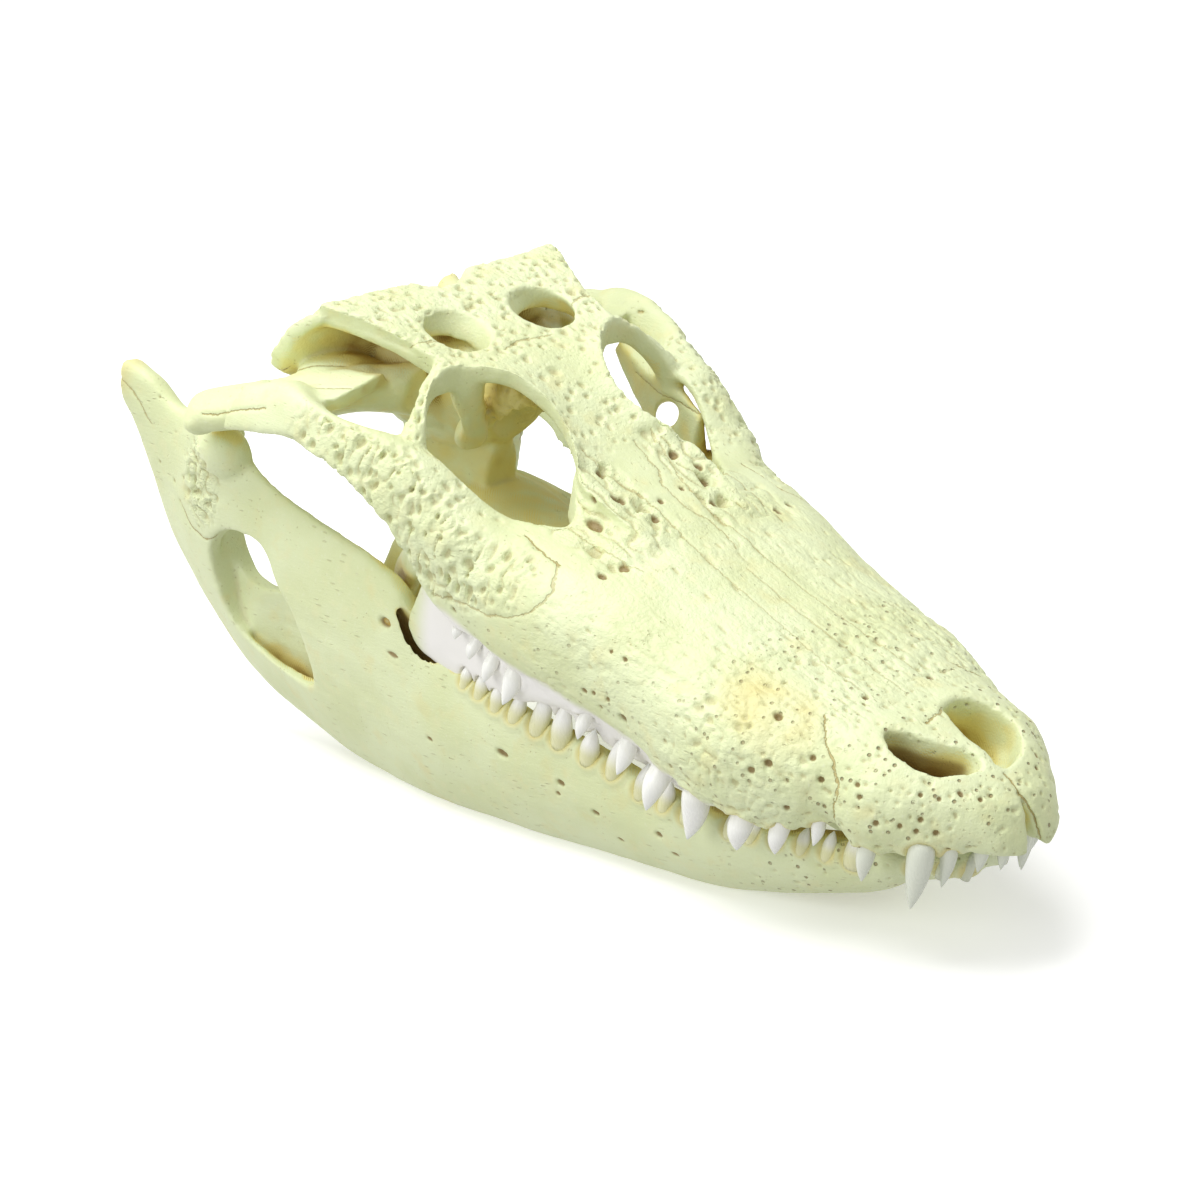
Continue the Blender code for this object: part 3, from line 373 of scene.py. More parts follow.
def upperSolids():
    stations = list(np.arange(0, 12, 1.5)) + list(np.arange(12, 60, 3)) + list(np.arange(60, 191, 5))
    middle = [loft("snout", [snoutRing(y) for y in stations])]
    rings = []
    for y in range(150, 245, 3):
        rise = 4.0 if 188 < y < 232 else 1.5
        rings.append(browRing(y, smooth(brow["halfWidth"], y), smooth(brow["height"], y), brow["thick"],
                              rise))
    middle.append(loft("brow", rings))
    middle.append(loft("table", [browRing(y, smooth(table["side"], y), smooth(table["top"], y),
                                          table["thick"], 1.2)
                                 for y in range(236, 289, 3)]))
    middle.append(loft("brainBox", [
        oval((0, 229, 50), (13, 0, 0), (0, 3, 7)), oval((0, 233, 46), (15, 0, 0), (0, 2, 12)),
        oval((0, 243, 40), (15, 0, 0), (0, 0, 18)), oval((0, 256, 35), (17, 0, 0), (0, 0, 23)),
        oval((0, 270, 33), (21, 0, 0), (0, 0, 25)), oval((0, 282, 34), (26, 0, 0), (0, 0, 24)),
        oval((0, 291, 38), (25, 0, 0), (0, 0, 18))]))
    middle.append(loft("brainKeel", [
        oval((0, 244, 8), (7, 0, 0), (0, 0, 14)), oval((0, 260, 6), (9, 0, 0), (0, 0, 17)),
        oval((0, 274, 8), (13, 0, 0), (0, 0, 20)), oval((0, 282, 10), (14, 0, 0), (0, 0, 17))]))
    middle.append(ball("neckKnob", (0, 294, 25), (7.5, 8, 6)))
    middle.append(loft("palateBar", [
        oval((0, 140, 4), (24, 0, 0), (0, 0, 5)), oval((0, 165, 4), (16, 0, 0), (0, 0, 5)),
        oval((0, 195, 3), (12, 0, 0), (0, 0, 5)), oval((0, 220, 1), (14, 0, 0), (0, 0, 5.5)),
        oval((0, 240, -1), (17, 0, 0), (0, 0, 6.5)), oval((0, 262, -3), (14, 0, 0), (0, 0, 7))]))
    return middle + bothSides(upperSideSolids())


def upperSideSolids():
    rings = []
    for y in range(150, 291, 4):
        top, foot = smooth(cheek["top"], y), smooth(cheek["foot"], y)
        rings.append(bladeRing(top, foot, smooth(cheek["thick"], y), smooth(cheek["belly"], y), y,
                               cheek["crest"]))
    made = [loft("cheek", rings)]
    made.append(rod("eyePost", [(33, 239, 57, 6, 5), (41, 236, 54.5, 4.2, 4.4), (47, 233, 50, 3.7, 3.9),
                                (52.5, 229, 44, 4.4, 5), (57, 226, 37, 5, 6)], flat=(0, 1, 0)))
    made.append(rod("quadrateStrut", [(22, 262, 38, 8, 10), (38, 271, 38, 9, 7.5), (54, 283, 32.5, 10.5, 7),
                                      (68, 296, 27, 11, 6.5), (76, 306, 22.5, 10.5, 6.2),
                                      (79, 310, 21, 8, 5)]))
    made.append(ball("quadrateKnuckle", (76, 306.5, 20.5), (11.5, 6, 5.6), turn=-22))
    made.append(plate("quadrateWeb", [(60, 259, 43), (67, 263, 42), (80, 290, 28), (74, 301, 25.5),
                                      (54, 290, 36),
                                      (44, 276, 42), (38, 262, 46)], 6.5, (0.45, -0.1, 1)))
    made.append(plate("earWing", [(22, 284, 60), (50, 285, 61), (54, 293, 52), (55.5, 299, 41), (53, 302, 34),
                                  (44, 298, 30), (22, 290, 30)], 6, (0.25, 1, 0.2)))
    made.append(ball("earFloor", (40, 282, 37), (16, 12, 7), turn=25))
    made.append(loft("throatWing", [
        oval((4, 243, 0), (0, 17, 0), (0, 0, 4.5)), oval((20, 243, -4), (0, 17, 0), (0, 0, 3.6)),
        oval((34, 242, -15), (0, 15, 0), (2, 0, 4.0)), oval((42, 241, -27), (0, 13, 0), (3, 0, 3.6)),
        oval((45, 241, -36), (0, 8, 0), (3, 0, 2.6))]))
    made.append(rod("throatStrut", [(60, 203, 12, 5, 9), (55, 214, 10, 5, 7.5), (48.5, 226, 1, 4, 7.5),
                                    (43.5, 236, -12, 4, 7.5), (41.5, 241, -24, 3, 6)]))
    made.append(rod("toothShelf", [(48, 140, -2, 7, 8), (51.5, 160, -4, 4.5, 12), (53, 178, -7, 3.6, 17),
                                   (54.5, 195, -6, 3.6, 20), (56, 206, -5, 3.4, 20), (57, 213, -3, 3, 15)]))
    made.append(plate("cheekLining", [(49, 206, 34), (53, 222, 37), (56, 240, 38), (60, 256, 39),
                                      (63, 261, 33),
                                      (60, 250, 27), (56, 236, 22), (54, 224, 5), (55, 206, 12)], 6,
                                      (1, -0.25, 0.45)))
    made.append(rod("templePillar", [(27, 237, 57, 7, 4.5), (24, 238, 45, 6, 4.5), (18, 241, 28, 6, 5)],
                    flat=(0, 1, 0)))
    return made


def upperCutters():
    rim = closedCurve(eye["rim"], 5)
    midX, midY = eye["middle"]
    made = [loft("eyeOpening", [[(midX + (x - midX) * wide, midY + (y - midY) * wide, z) for x, y in rim]
                                for z, wide in eye["levels"]])]
    made.append(tunnel("palateOpening", [(33, 196, 26, 15, 24, -6), (32, 186, 10, 13, 33, -6),
                                         (31, 184, -24, 13, 34, -6)]))
    made.append(tunnel("tableOpening", [(17.5, 253.5, 80, 11, 12, -12), (17.5, 254, 62, 10.5, 11.5, -12),
                                        (24, 250, 50, 10, 11, -12), (33, 247, 30, 9, 12, 0),
                                        (36, 245, 5, 9, 12, 0)]))
    made.append(loft("earOpening", [
        oval((66, 268, 54), (6, 10, -1), (0, -3, 6)), oval((56, 270, 53), (6, 12, -1), (0, -3, 5.6)),
        oval((46, 270, 51), (4, 11, -1), (0, -2, 5)), oval((34, 266, 49), (2, 8, -1), (0, -1, 4.5))]))
    made.append(rod("cheekSlit", [(46, 217, 32.5, 4, 4.5), (54, 225, 26, 4, 4.5), (63, 234, 18, 4, 4.5)]))
    made = bothSides(made)
    made.append(tunnel("underBrow", [(0, 216, 43, 13, 25, 0), (0, 216, 31, 20, 28.5, 0),
                                     (0, 212, 9.5, 18, 27, 0)]))
    made.append(ball("tableNotch", (0, 291, 67), (13, 13, 12)))
    made.append(loft("lipNotch", [[(0, back, z), (half, -6, z), (-half, -6, z)] for z, back,
                                  half in snout["notch"]]))
    midX, midY = snout["nostrilMiddle"]
    for side, outline in ((1, snout["leftNostril"]), (-1, snout["rightNostril"])):
        made.append(loft("nostril", [[((midX + (x - midX) * share) * side, midY + (y - midY) * share + back,
                                       z)
                                      for x, y in closedCurve(outline, 4)[::side]]
                                     for z, share, back in snout["nostrilLevels"]]))
    return made + bothSides([loft(*tooth(*row)) for row in lowerTeethRows(0.8)])


print("stage: lower jaw")
jaw = {
    "top": [(15, 5, -5), (19, 12, -5), (27, 19, -7.5), (38, 25.5, -10), (60, 32, -16), (85, 40, -21.8),
            (100, 43.5, -24.6), (115, 46, -25), (130, 48.4, -23.6), (150, 51.5, -23.2), (173, 56, -23.8),
            (188, 58.5, -22), (200, 60, -21.5), (212, 61, -17.5), (219, 62, -9), (226, 62.5, -4),
            (240, 64, -2), (262, 66, -1),
            (285, 68, 1), (300, 71, 8),
            (309, 73, 19), (317, 74, 20.5), (326, 72.5, 10.5), (336, 71.5, 8.5), (350, 72.5, 14),
            (361, 74.5, 15.5)],
    "foot": [(15, 3, -8), (19, 6, -9.5), (27, 9, -14), (40, 13, -29.5), (60, 20, -41.5), (92, 30, -55.6),
             (128, 38, -64.1), (174, 47, -75.5), (220, 52, -86.6), (255, 53, -91.5), (287, 54, -90.5),
             (304, 57, -84), (317, 59.5, -75), (328, 61.5, -64), (339, 64, -50), (350, 68, -24),
             (358, 71, -8),
             (363, 73, -2)],
    "thick": [(15, 8), (26, 13), (60, 15), (115, 14), (160, 13), (200, 14), (250, 16), (300, 15), (318, 17),
              (335, 12), (361, 11)],
    "belly": [(15, 1), (40, 3), (115, 3.5), (200, 5), (260, 7), (310, 5), (335, 2), (361, 0.5)],
    "window": [(309, -35), (300, -22), (284, -20.5), (274, -30), (262, -41), (256, -60), (268, -65),
               (287, -65),
               (303, -58)],
    "hollow": [(218, 12), (300, 22), (311, -26), (305, -44), (286, -43), (262, -30), (240, -25), (224, -15)],
    "sink": 4.5,           # how much lower the upper edge is on its inner side
    "windowLift": 10,    # the left window reaches this much higher than the right one
}


def jawSolids():
    rings = []
    for y in list(range(15, 60, 3)) + list(range(60, 300, 6)) + list(range(300, 362, 3)) + [361]:
        top, foot = smooth(jaw["top"], y), smooth(jaw["foot"], y)
        rings.append(bladeRing(top, foot, smooth(jaw["thick"], y), smooth(jaw["belly"], y), y,
                               sink=jaw["sink"]))
    made = [loft("branch", rings)]
    made.append(loft("chin", [
        oval((4, 16, -6.5), (5, 0, 0), (0, 0, 3)), oval((5, 21, -8.5), (8, 0, 0), (0, 0, 4.5)),
        oval((6, 30, -12.5), (11, 0, 0), (0, 0, 6)), oval((7, 42, -19), (12, 0, 0), (0, 0, 8)),
        oval((8, 54, -27), (9.5, 0, 0), (0, 0, 6))]))
    made.append(ball("jawJoint", (66.5, 307, 4.5), (10.5, 11, 9.5), turn=-20))
    return bothSides(made)


def jawCutters(lift=0.0):
    outline = [(y + 0.6 * lift * (1 + z / 65), z + lift * (1 + z / 65)) for y, z in jaw["window"]]
    made = [loft("window", [[(x, y, z) for y, z in closedCurve(outline, 4)] for x in (58.5, 90)])]
    made.append(loft("hollow", [[(x + slant * (y - 206), y, z) for y, z in closedCurve(jaw["hollow"], 4)]
                                for x, slant in ((35, 0), (51, 0.13))]))
    made.append(loft("trough", [
        oval((52.8, 196, -40), (2.1, 0, 0), (1.5, 0, 10)), oval((54.8, 212, -34), (3.3, 0, 0), (3.3, 0, 22)),
        oval((56, 235, -40), (4, 0, 0), (4, 0, 28)), oval((58, 262, -42), (4.3, 0, 0), (4.5, 0, 32)),
        oval((59.8, 284, -42), (4, 0, 0), (4.5, 0, 31)), oval((62.3, 296, -44), (2.5, 0, 0), (3, 0, 22))]))
    made.append(ball("socket", (76, 306.5, 21.5), (14, 7.5, 7.6), turn=-22))
    return made


print("stage: teeth")
teeth = {
    # front teeth: across, back, height right, height left, root radius; the others: back, height, root radius
    "front": [(3.9, 8.5, 9.8, 12.3, 2.2), (9.8, 12, 10.3, 17.5, 2.5), (18.5, 17, 14.5, 14, 2.7),
              (25, 21.5, 20.5, 19.5, 4.1), (31.5, 36, 12, 12, 2.9)],
    "cheek": [(53.5, 8.5, 2.3), (63, 9.5, 3.0), (74, 11.5, 3.9), (91, 15.5, 4.5), (106.5, 12.5, 3.9),
              (121.5, 9.8, 3.1), (138.5, 7, 2.3), (166.5, 9.5, 3.2), (175.5, 7, 2.4), (183, 5, 2.1),
              (190, 4, 1.9)],
    "lower": [(17, 6, 1.9), (22, 6, 1.9), (29, 6, 2.0), (45.5, 11, 3.6), (54, 7, 2.3), (62, 6.5, 2.2),
              (70, 6.5, 2.2), (78, 6.5, 2.2), (85, 7, 2.3), (100, 8, 2.5), (108.5, 8, 2.5), (117.5, 9.5, 2.9),
              (129, 11.5, 2.9), (139, 9, 3.3), (150.5, 14, 3.5), (159.5, 14, 3.2), (168.5, 9, 2.7),
              (176, 9, 2.5), (183, 8.5, 2.3), (189.5, 6.5, 2.0)],
    "lowerInset": 3.4,   # from the lower jaw's outer edge to the middle of its teeth
    "tilt": [(50, 1), (92, 0.8), (106, 4.5), (150, 4.5), (190, 6)],   # of a 14 mm tooth, outwards
    "sunk": 3.5,
    "sides": 20,
    # how far along the crown, and how wide it is there
    "profile": [(-1, 0.8), (-0.5, 0.95), (0, 1.0), (0.12, 1.02), (0.25, 0.99), (0.4, 0.9), (0.55, 0.76),
                (0.7, 0.57), (0.82, 0.39), (0.91, 0.23), (0.97, 0.11), (1.0, 0.03)],
}


def tooth(name, root, tip, radius, bend=0.0):
    # a conical crown, a little flattened, with a sharp front and rear edge and a sunk root
    root, tip = Vector(root), Vector(tip)
    along = tip - root
    up = along.normalized()
    side = up.cross(Vector((0, 1, 0))).normalized()
    back = up.cross(side).normalized()
    rings = []
    n = teeth["sides"]
    for way, wide in teeth["profile"]:
        centre = root + along * (way if way > 0 else way * teeth["sunk"] / along.length)
        centre = centre + side * (bend * radius * max(way, 0) * (1 - max(way, 0)) * 1.6)
        ring = []
        for k in range(n):
            angle = 2 * math.pi * k / n
            c, s = math.cos(angle), math.sin(angle)
            keel = 1 + 0.1 * max(way, 0) * abs(s) ** 8
            flute = 1 + 0.012 * math.cos(10 * angle) * (0 < way < 0.9)
            ring.append(centre + (side * c * 0.95 + back * s * keel) * radius * wide * flute)
        rings.append(ring)
    return (name, rings)


def frontTeethRows(right=False):
    rows = []
    for k, (x, y, rightHeight, leftHeight, radius) in enumerate(teeth["front"]):
        foot, height = smooth(snout["toothEdge"], max(y - 4, 0)) + 0.5, rightHeight if right else leftHeight
        rows.append((f"frontTooth{k}", (x, y, foot), (x + 0.5, y - 0.5, foot - height), radius))
    return rows


def cheekTeethRows():
    rows = []
    for k, (y, height, radius) in enumerate(teeth["cheek"]):
        x = smooth(snout["halfWidth"], y) - 6.4
        foot = smooth(snout["toothEdge"], y) + 0.8 - 0.28 * smooth(snout["innerRidge"], y)
        out = smooth(teeth["tilt"], y) * height / 14
        rows.append((f"cheekTooth{k}", (x, y, foot), (x + out, y, foot - height), radius))
    return rows


def lowerTeethRows(grow=0.0):
    rows = []
    for k, (y, height, radius) in enumerate(teeth["lower"]):
        top = smooth(jaw["top"], y)
        x, foot = top[0] - teeth["lowerInset"] * min(1, top[0] / 25), top[1] - 2.0
        rows.append((f"lowerTooth{k}", (x, y, foot), (x - 1, y, foot + height + 1.5 * grow), radius + grow))
    return rows


print("stage: skins")
upper, upperCoarse = fused("upperSkull", upperSolids(), upperCutters())
right = jawCutters()
branches = jawSolids()
cutters = jawCutters(jaw["windowLift"]) + [mirrored(p) for p in right]
lower, lowerCoarse = fused("lowerJaw", branches, cutters)
for piece in right:
    bpy.data.objects.remove(piece, do_unlink=True)

print("stage: carving")


def ramp(value, low, high):
    t = np.clip((value - low) / (high - low), 0, 1)
    return t * t * (3 - 2 * t)


def hashed(cells, seed):
    # a repeatable number from 0 to 1 for each cell of a lattice
    n = (cells[:, 0] * 73856093) ^ (cells[:, 1] * 19349663) ^ (cells[:, 2] * 83492791) ^ (seed * 15485863)
    n = (n ^ (n >> 13)) * 1274126177
    n = n ^ (n >> 16)
    return (n & 0xffff) / 65535.0


def noise(points, size, seed=0):
    scaled = points / np.array(size, float)
    base = np.floor(scaled).astype(np.int64)
    f = scaled - base
    f = f * f * (3 - 2 * f)
    total = np.zeros(len(points))
    for corner in np.ndindex(2, 2, 2):
        weight = np.prod(np.where(np.array(corner), f, 1 - f), axis=1)
        total += weight * hashed(base + np.array(corner), seed)
    return total * 2 - 1


def pits(points, mask, spacing, radius, seed, stretch=(1, 1, 1), chance=0.8):
    # how deep each point lies in scattered rounded hollows, from 0 to 1
    deep = np.zeros(len(points))
    chosen = np.flatnonzero(mask > 0.02)
    bend = np.stack([noise(points[chosen], spacing, seed + 11 + k) for k in range(3)], axis=1)
    scaled = (points[chosen] + bend * radius * 0.5) / (np.array(stretch, float) * spacing)
    base = np.floor(scaled).astype(np.int64)
    found = np.zeros(len(chosen))
    for near in np.ndindex(3, 3, 3):
        cell = base + np.array(near) - 1
        centre = cell + np.stack([hashed(cell, seed + k) for k in range(3)], axis=1)
        size = radius / spacing * (0.55 + 0.9 * hashed(cell, seed + 3))
        away = ((scaled - centre) ** 2).sum(axis=1) / size**2
        found = np.maximum(found, np.where(hashed(cell, seed + 4) < chance, np.clip(1 - away, 0, 1), 0))
    deep[chosen] = found
    return deep * mask


def rills(points, size, seed):
    # branching grooves: 1 in the groove, 0 on the ridge
    bent = points + 1.2 * np.stack([noise(points, 5, seed + k) for k in range(3)], axis=1)
    return np.clip(1 - 3.2 * np.abs(noise(bent, size, seed + 5)), 0, 1)


def readMesh(mesh):
    points = np.zeros(len(mesh.vertices) * 3, np.float32)
    mesh.vertices.foreach_get("co", points)
    normals = np.zeros(len(mesh.vertices) * 3, np.float32)
    mesh.vertex_normals.foreach_get("vector", normals)
    edges = np.zeros(len(mesh.edges) * 2, np.int32)
    mesh.edges.foreach_get("vertices", edges)
    return points.reshape(-1, 3).astype(float), normals.reshape(-1, 3).astype(float), edges.reshape(-1, 2)


def spread(values, edges, times):
    # averages each value with its neighbours'
    a, b = edges[:, 0], edges[:, 1]
    n = len(values)
    count = np.maximum(np.bincount(a, minlength=n) + np.bincount(b, minlength=n), 1)
    for step in range(times):
        values = (np.bincount(a, values[b], n) + np.bincount(b, values[a], n)) / count
    return values


def shelter(points, normals, edges, tree):
    # how deep in the skull's hollows each point lies: 0 in the open, 1 shut in; the finish paints shade and
    # bounce light from it
    draw = np.random.default_rng(4)
    every = 14
    chosen = np.arange(0, len(points), every)
    total = np.zeros(len(points))
    weight = np.zeros(len(points))
    rays = draw.normal(size=(len(chosen), 14, 3))
    rays /= np.linalg.norm(rays, axis=2)[:, :, None]
    for row, i in zip(rays, chosen):
        normal = normals[i]
        start = Vector(points[i] + normal * 1.2)
        aim = row + normal * 1.05
        total[i] = sum(tree.ray_cast(start, Vector(ray), 90)[0] is not None for ray in aim) / len(aim)
        weight[i] = 1
    return spread(total, edges, 14) / np.maximum(spread(weight, edges, 14), 1e-6)


oldPoint = 0.5      # marks the points that were there before the cuts, which give new ones 1


class Carver:
    # collects how far each point of a skin moves, and the marks that its finish reads, painted shade in pits,
    # creases and hollows among them

    def __init__(self, body, tree):
        self.body = body
        self.points, self.normals, self.edges = readMesh(body.data)
        n = len(self.points)
        self.move, self.pit, self.stain, self.gum = (np.zeros(n) for k in range(4))
        self.seam, self.presence = np.full(n, 2.5), np.zeros(n)
        self.dots, self.folds = np.zeros(n), np.zeros(n)
        self.kd = KDTree(n)
        for i, point in enumerate(self.points):
            self.kd.insert(point, i)
        self.kd.balance()
        self.hollow = shelter(self.points, self.normals, self.edges, tree)

    # sinks the skin by amount times depth, and paints shade into the pit by amount times dark
    def dig(self, amount, depth, dark=0.0):
        self.move -= amount * depth
        self.pit = np.maximum(self.pit, amount * dark)

    # sinks a rounded hole and paints shade into it by dark
    def hole(self, place, radius, depth, long=1.0, dark=1.0):
        point, index, away = self.kd.find(place)
        reach = radius * long + 1
        near = np.array([i for spot, i, far in self.kd.find_range(point, reach)], int)
        offset = (self.points[near] - np.array(point)) / np.array([radius, radius * long, radius])
        deep = np.clip(1.15 - (offset**2).sum(axis=1), 0, 1)
        self.move[near] -= deep * depth
        self.pit[near] = np.maximum(self.pit[near], deep * dark)

    def line(self, corners, jag=0.3, strength=1.0, seed=1):
        # a seam or crack along the skin through the corners
        keys = [(k,) + tuple(row) for k, row in enumerate(corners)]
        length = sum((Vector(a) - Vector(b)).length for a, b in zip(corners, corners[1:]))
        steps = max(int(length / 0.8), 4)
        draw = np.random.default_rng(seed)
        spots = []
        sway = np.convolve(draw.uniform(-1, 1, steps + 4), (0.25, 0.5, 0.25), "same")
        for k, t in enumerate(np.linspace(0, len(corners) - 1, steps)):
            point, index, away = self.kd.find(smooth(keys, t))
            spots.append((np.array(point), self.normals[index]))
        middle = np.array([spot for spot, normal in spots])
        easy = middle.copy()
        for k in range(3):
            easy[1:-1] = (easy[:-2] + easy[1:-1] * 2 + easy[2:]) / 4
        along = np.gradient(easy, axis=0)
        along /= np.maximum(np.linalg.norm(along, axis=1), 1e-6)[:, None]
        for k, (spot, normal) in enumerate(spots):
            across = np.cross(along[k], normal)
            centre = easy[k] + across * sway[k] * jag
            near = np.array([i for place, i, far in self.kd.find_range(centre, 2.8)], int)
            if len(near) == 0:
                continue
            offset = self.points[near] - centre
            far = np.linalg.norm(offset, axis=1)
            signed = np.sign(offset @ across) * np.maximum(np.abs(offset @ across), 0.02)
            ahead = np.abs(offset @ along[k])
            better = (ahead < 1.4) & (np.abs(signed) < np.abs(self.seam[near]))
            self.seam[near[better]] = signed[better]
            self.presence[near] = np.maximum(self.presence[near], strength * ramp(-far, -1.5, -0.8))

    def finish(self):
        groove = self.presence * np.clip(1 - (self.seam / 0.9) ** 2, 0, 1)
        self.move -= groove * 0.35
        self.points += self.normals * self.move[:, None]
        mesh = self.body.data
        mesh.vertices.foreach_set("co", self.points.astype(np.float32).ravel())
        mesh.update()
        points, normals, edges = readMesh(mesh)
        # how far the skin curves in at each point, for painted shade in its creases
        mean = np.stack([spread(points[:, k], edges, 1) for k in range(3)], axis=1)
        creaseShade = ((mean - points) * normals).sum(axis=1)
        wide = np.stack([spread(points[:, k], edges, 7) for k in range(3)], axis=1)
        broad = ((wide - points) * normals).sum(axis=1)
        creaseShade = np.clip(0.5 + 2.2 * spread(creaseShade, edges, 1) + 0.9 * broad, 0, 1)
        # the first layer holds painted shade in hollows, creases and pits, with the gum band's own white; the
        # third marks where dots of painted shade go
        rows = {"paintedShadeAndGum": np.stack([self.hollow, creaseShade, self.pit, self.gum], axis=1),
                "mark": np.stack([self.seam, self.presence, self.stain, np.ones(len(points))], axis=1),
                "ornamentAndDotShade": np.stack([self.dots, self.folds, np.full(len(points), oldPoint),
                                      np.ones(len(points))], axis=1)}
        for name, values in rows.items():
            layer = mesh.attributes.new(name, "FLOAT_COLOR", "POINT")
            layer.data.foreach_set("color", values.astype(np.float32).ravel())


coarse = bmesh.new()
for mesh in (upperCoarse, lowerCoarse):
    coarse.from_mesh(mesh)
walls = BVHTree.FromBMesh(coarse)
coarse.free()

seams = {
    # name: (points, jag, strength, also on the other side)
    "lobeTop": ([(-45.7, 179.7, 31.4), (-47.2, 171.3, 31.5), (-47.3, 162.7, 31.1)], 0.2, 1.0, True),
    "lobeRound": ([(-47.3, 162.7, 31.1), (-51.7, 158.8, 28.8), (-54.7, 156.9, 26.5), (-57.7, 157.3, 23.4),
                   (-60.6, 160.7, 19), (-62.9, 168.2, 14.3), (-63.9, 175.4, 11.9), (-65.1, 182.9, 11.3),
                   (-65.7, 188.7, 10.1), (-65.9, 196, 8.3)], 0.8, 0.6, True),
    "premaxMaxilla": ([(-28, 64, 27), (-33.7, 56.4, 23.2), (-35.3, 51.5, 20.6), (-37.1, 48.1, 17.2),
                       (-37.7, 45.8, 14.2), (-38.3, 45.6, 9.9), (-36.4, 46.5, 3.3)], 1.0, 0.9, True),
    "premaxMiddle": ([(0.5, 17, 24), (0, 10, 21), (0.2, 4, 16), (0, 1, 10)], 0.5, 1.0, False),
    "nasalCrack": ([(5, 47.5, 28), (1.5, 46.4, 27.8), (-2, 45.6, 26.8), (-5, 45.2, 22.3)], 0.6, 0.9, False),
    "frontalFront": ([(5.9, 190.6, 46), (4.9, 181.2, 43.4), (4.8, 177.1, 42.5), (1.1, 170.6, 41.5),
                      (1.2, 160.2, 39.4), (4.9, 148.5, 36.9), (3.8, 138, 35.5)], 0.6, 0.55, False),
    "frontalSide": ([(-14, 192, 47), (-12, 180, 43.4), (-9, 170, 41.5), (-8, 158, 39), (-9.5, 140, 35.5),
                     (-9, 120, 32.5)], 0.6, 0.5, True),
    "nasalSide": ([(-9, 120, 32.5), (-10, 100, 31), (-11, 80, 29.5), (-11, 64, 28.5)], 0.4, 0.4, True),
    "nasalMiddle": ([(0.4, 128, 34), (-0.3, 100, 31), (0.3, 75, 29.5), (0, 58, 28.5)], 0.3, 0.4, False),
    "earSeam": ([(-53, 300, 33), (-52.1, 288.8, 39.9), (-48.6, 283.9, 42.5), (-43.1, 279.1, 43.6)], 0.2,
                0.9, True),
    "quadrateSeam": ([(-66, 287, 36), (-63, 277, 41), (-59, 268, 45), (-54, 261.5, 46)], 0.2, 0.9, True),
    "cheekQuadrate": ([(-83, 299, 26.5), (-80.1, 290.8, 30.2), (-78, 279.6, 36), (-74, 267.7, 41.5),
                       (-69, 258, 45)], 0.25, 0.9, True),
    "angularSeam": ([(-69.7, 326, -24), (-70.3, 318, -30.1), (-70.6, 311, -30.8), (-68.5, 305.5, -28)], 0.5,
                    0.9, True),
    "retroSeam": ([(-74, 359.8, 8), (-73, 352, 4), (-72.5, 345, -2)], 0.5, 0.7, True),
    "squamosalPost": ([(-27, 251, 63.4), (-33, 251.5, 63.4), (-40, 252, 61)], 0.8, 0.6, True),
    "tableCross": ([(-9, 239, 61.5), (-3, 240.5, 61.7), (3, 240, 61.7), (9, 239, 61.5)], 0.9, 0.6, False),
    "leftEyeLine": ([(54.2, 242.3, 33.8), (52.1, 221.1, 33.8), (50.1, 205.9, 36.5)], 0.3, 0.7, False),
    "tearSeam": ([(-33, 181, 37), (-34, 170, 36), (-33, 158, 35.5), (-30, 144, 34.5)], 0.7, 0.5, True),
}
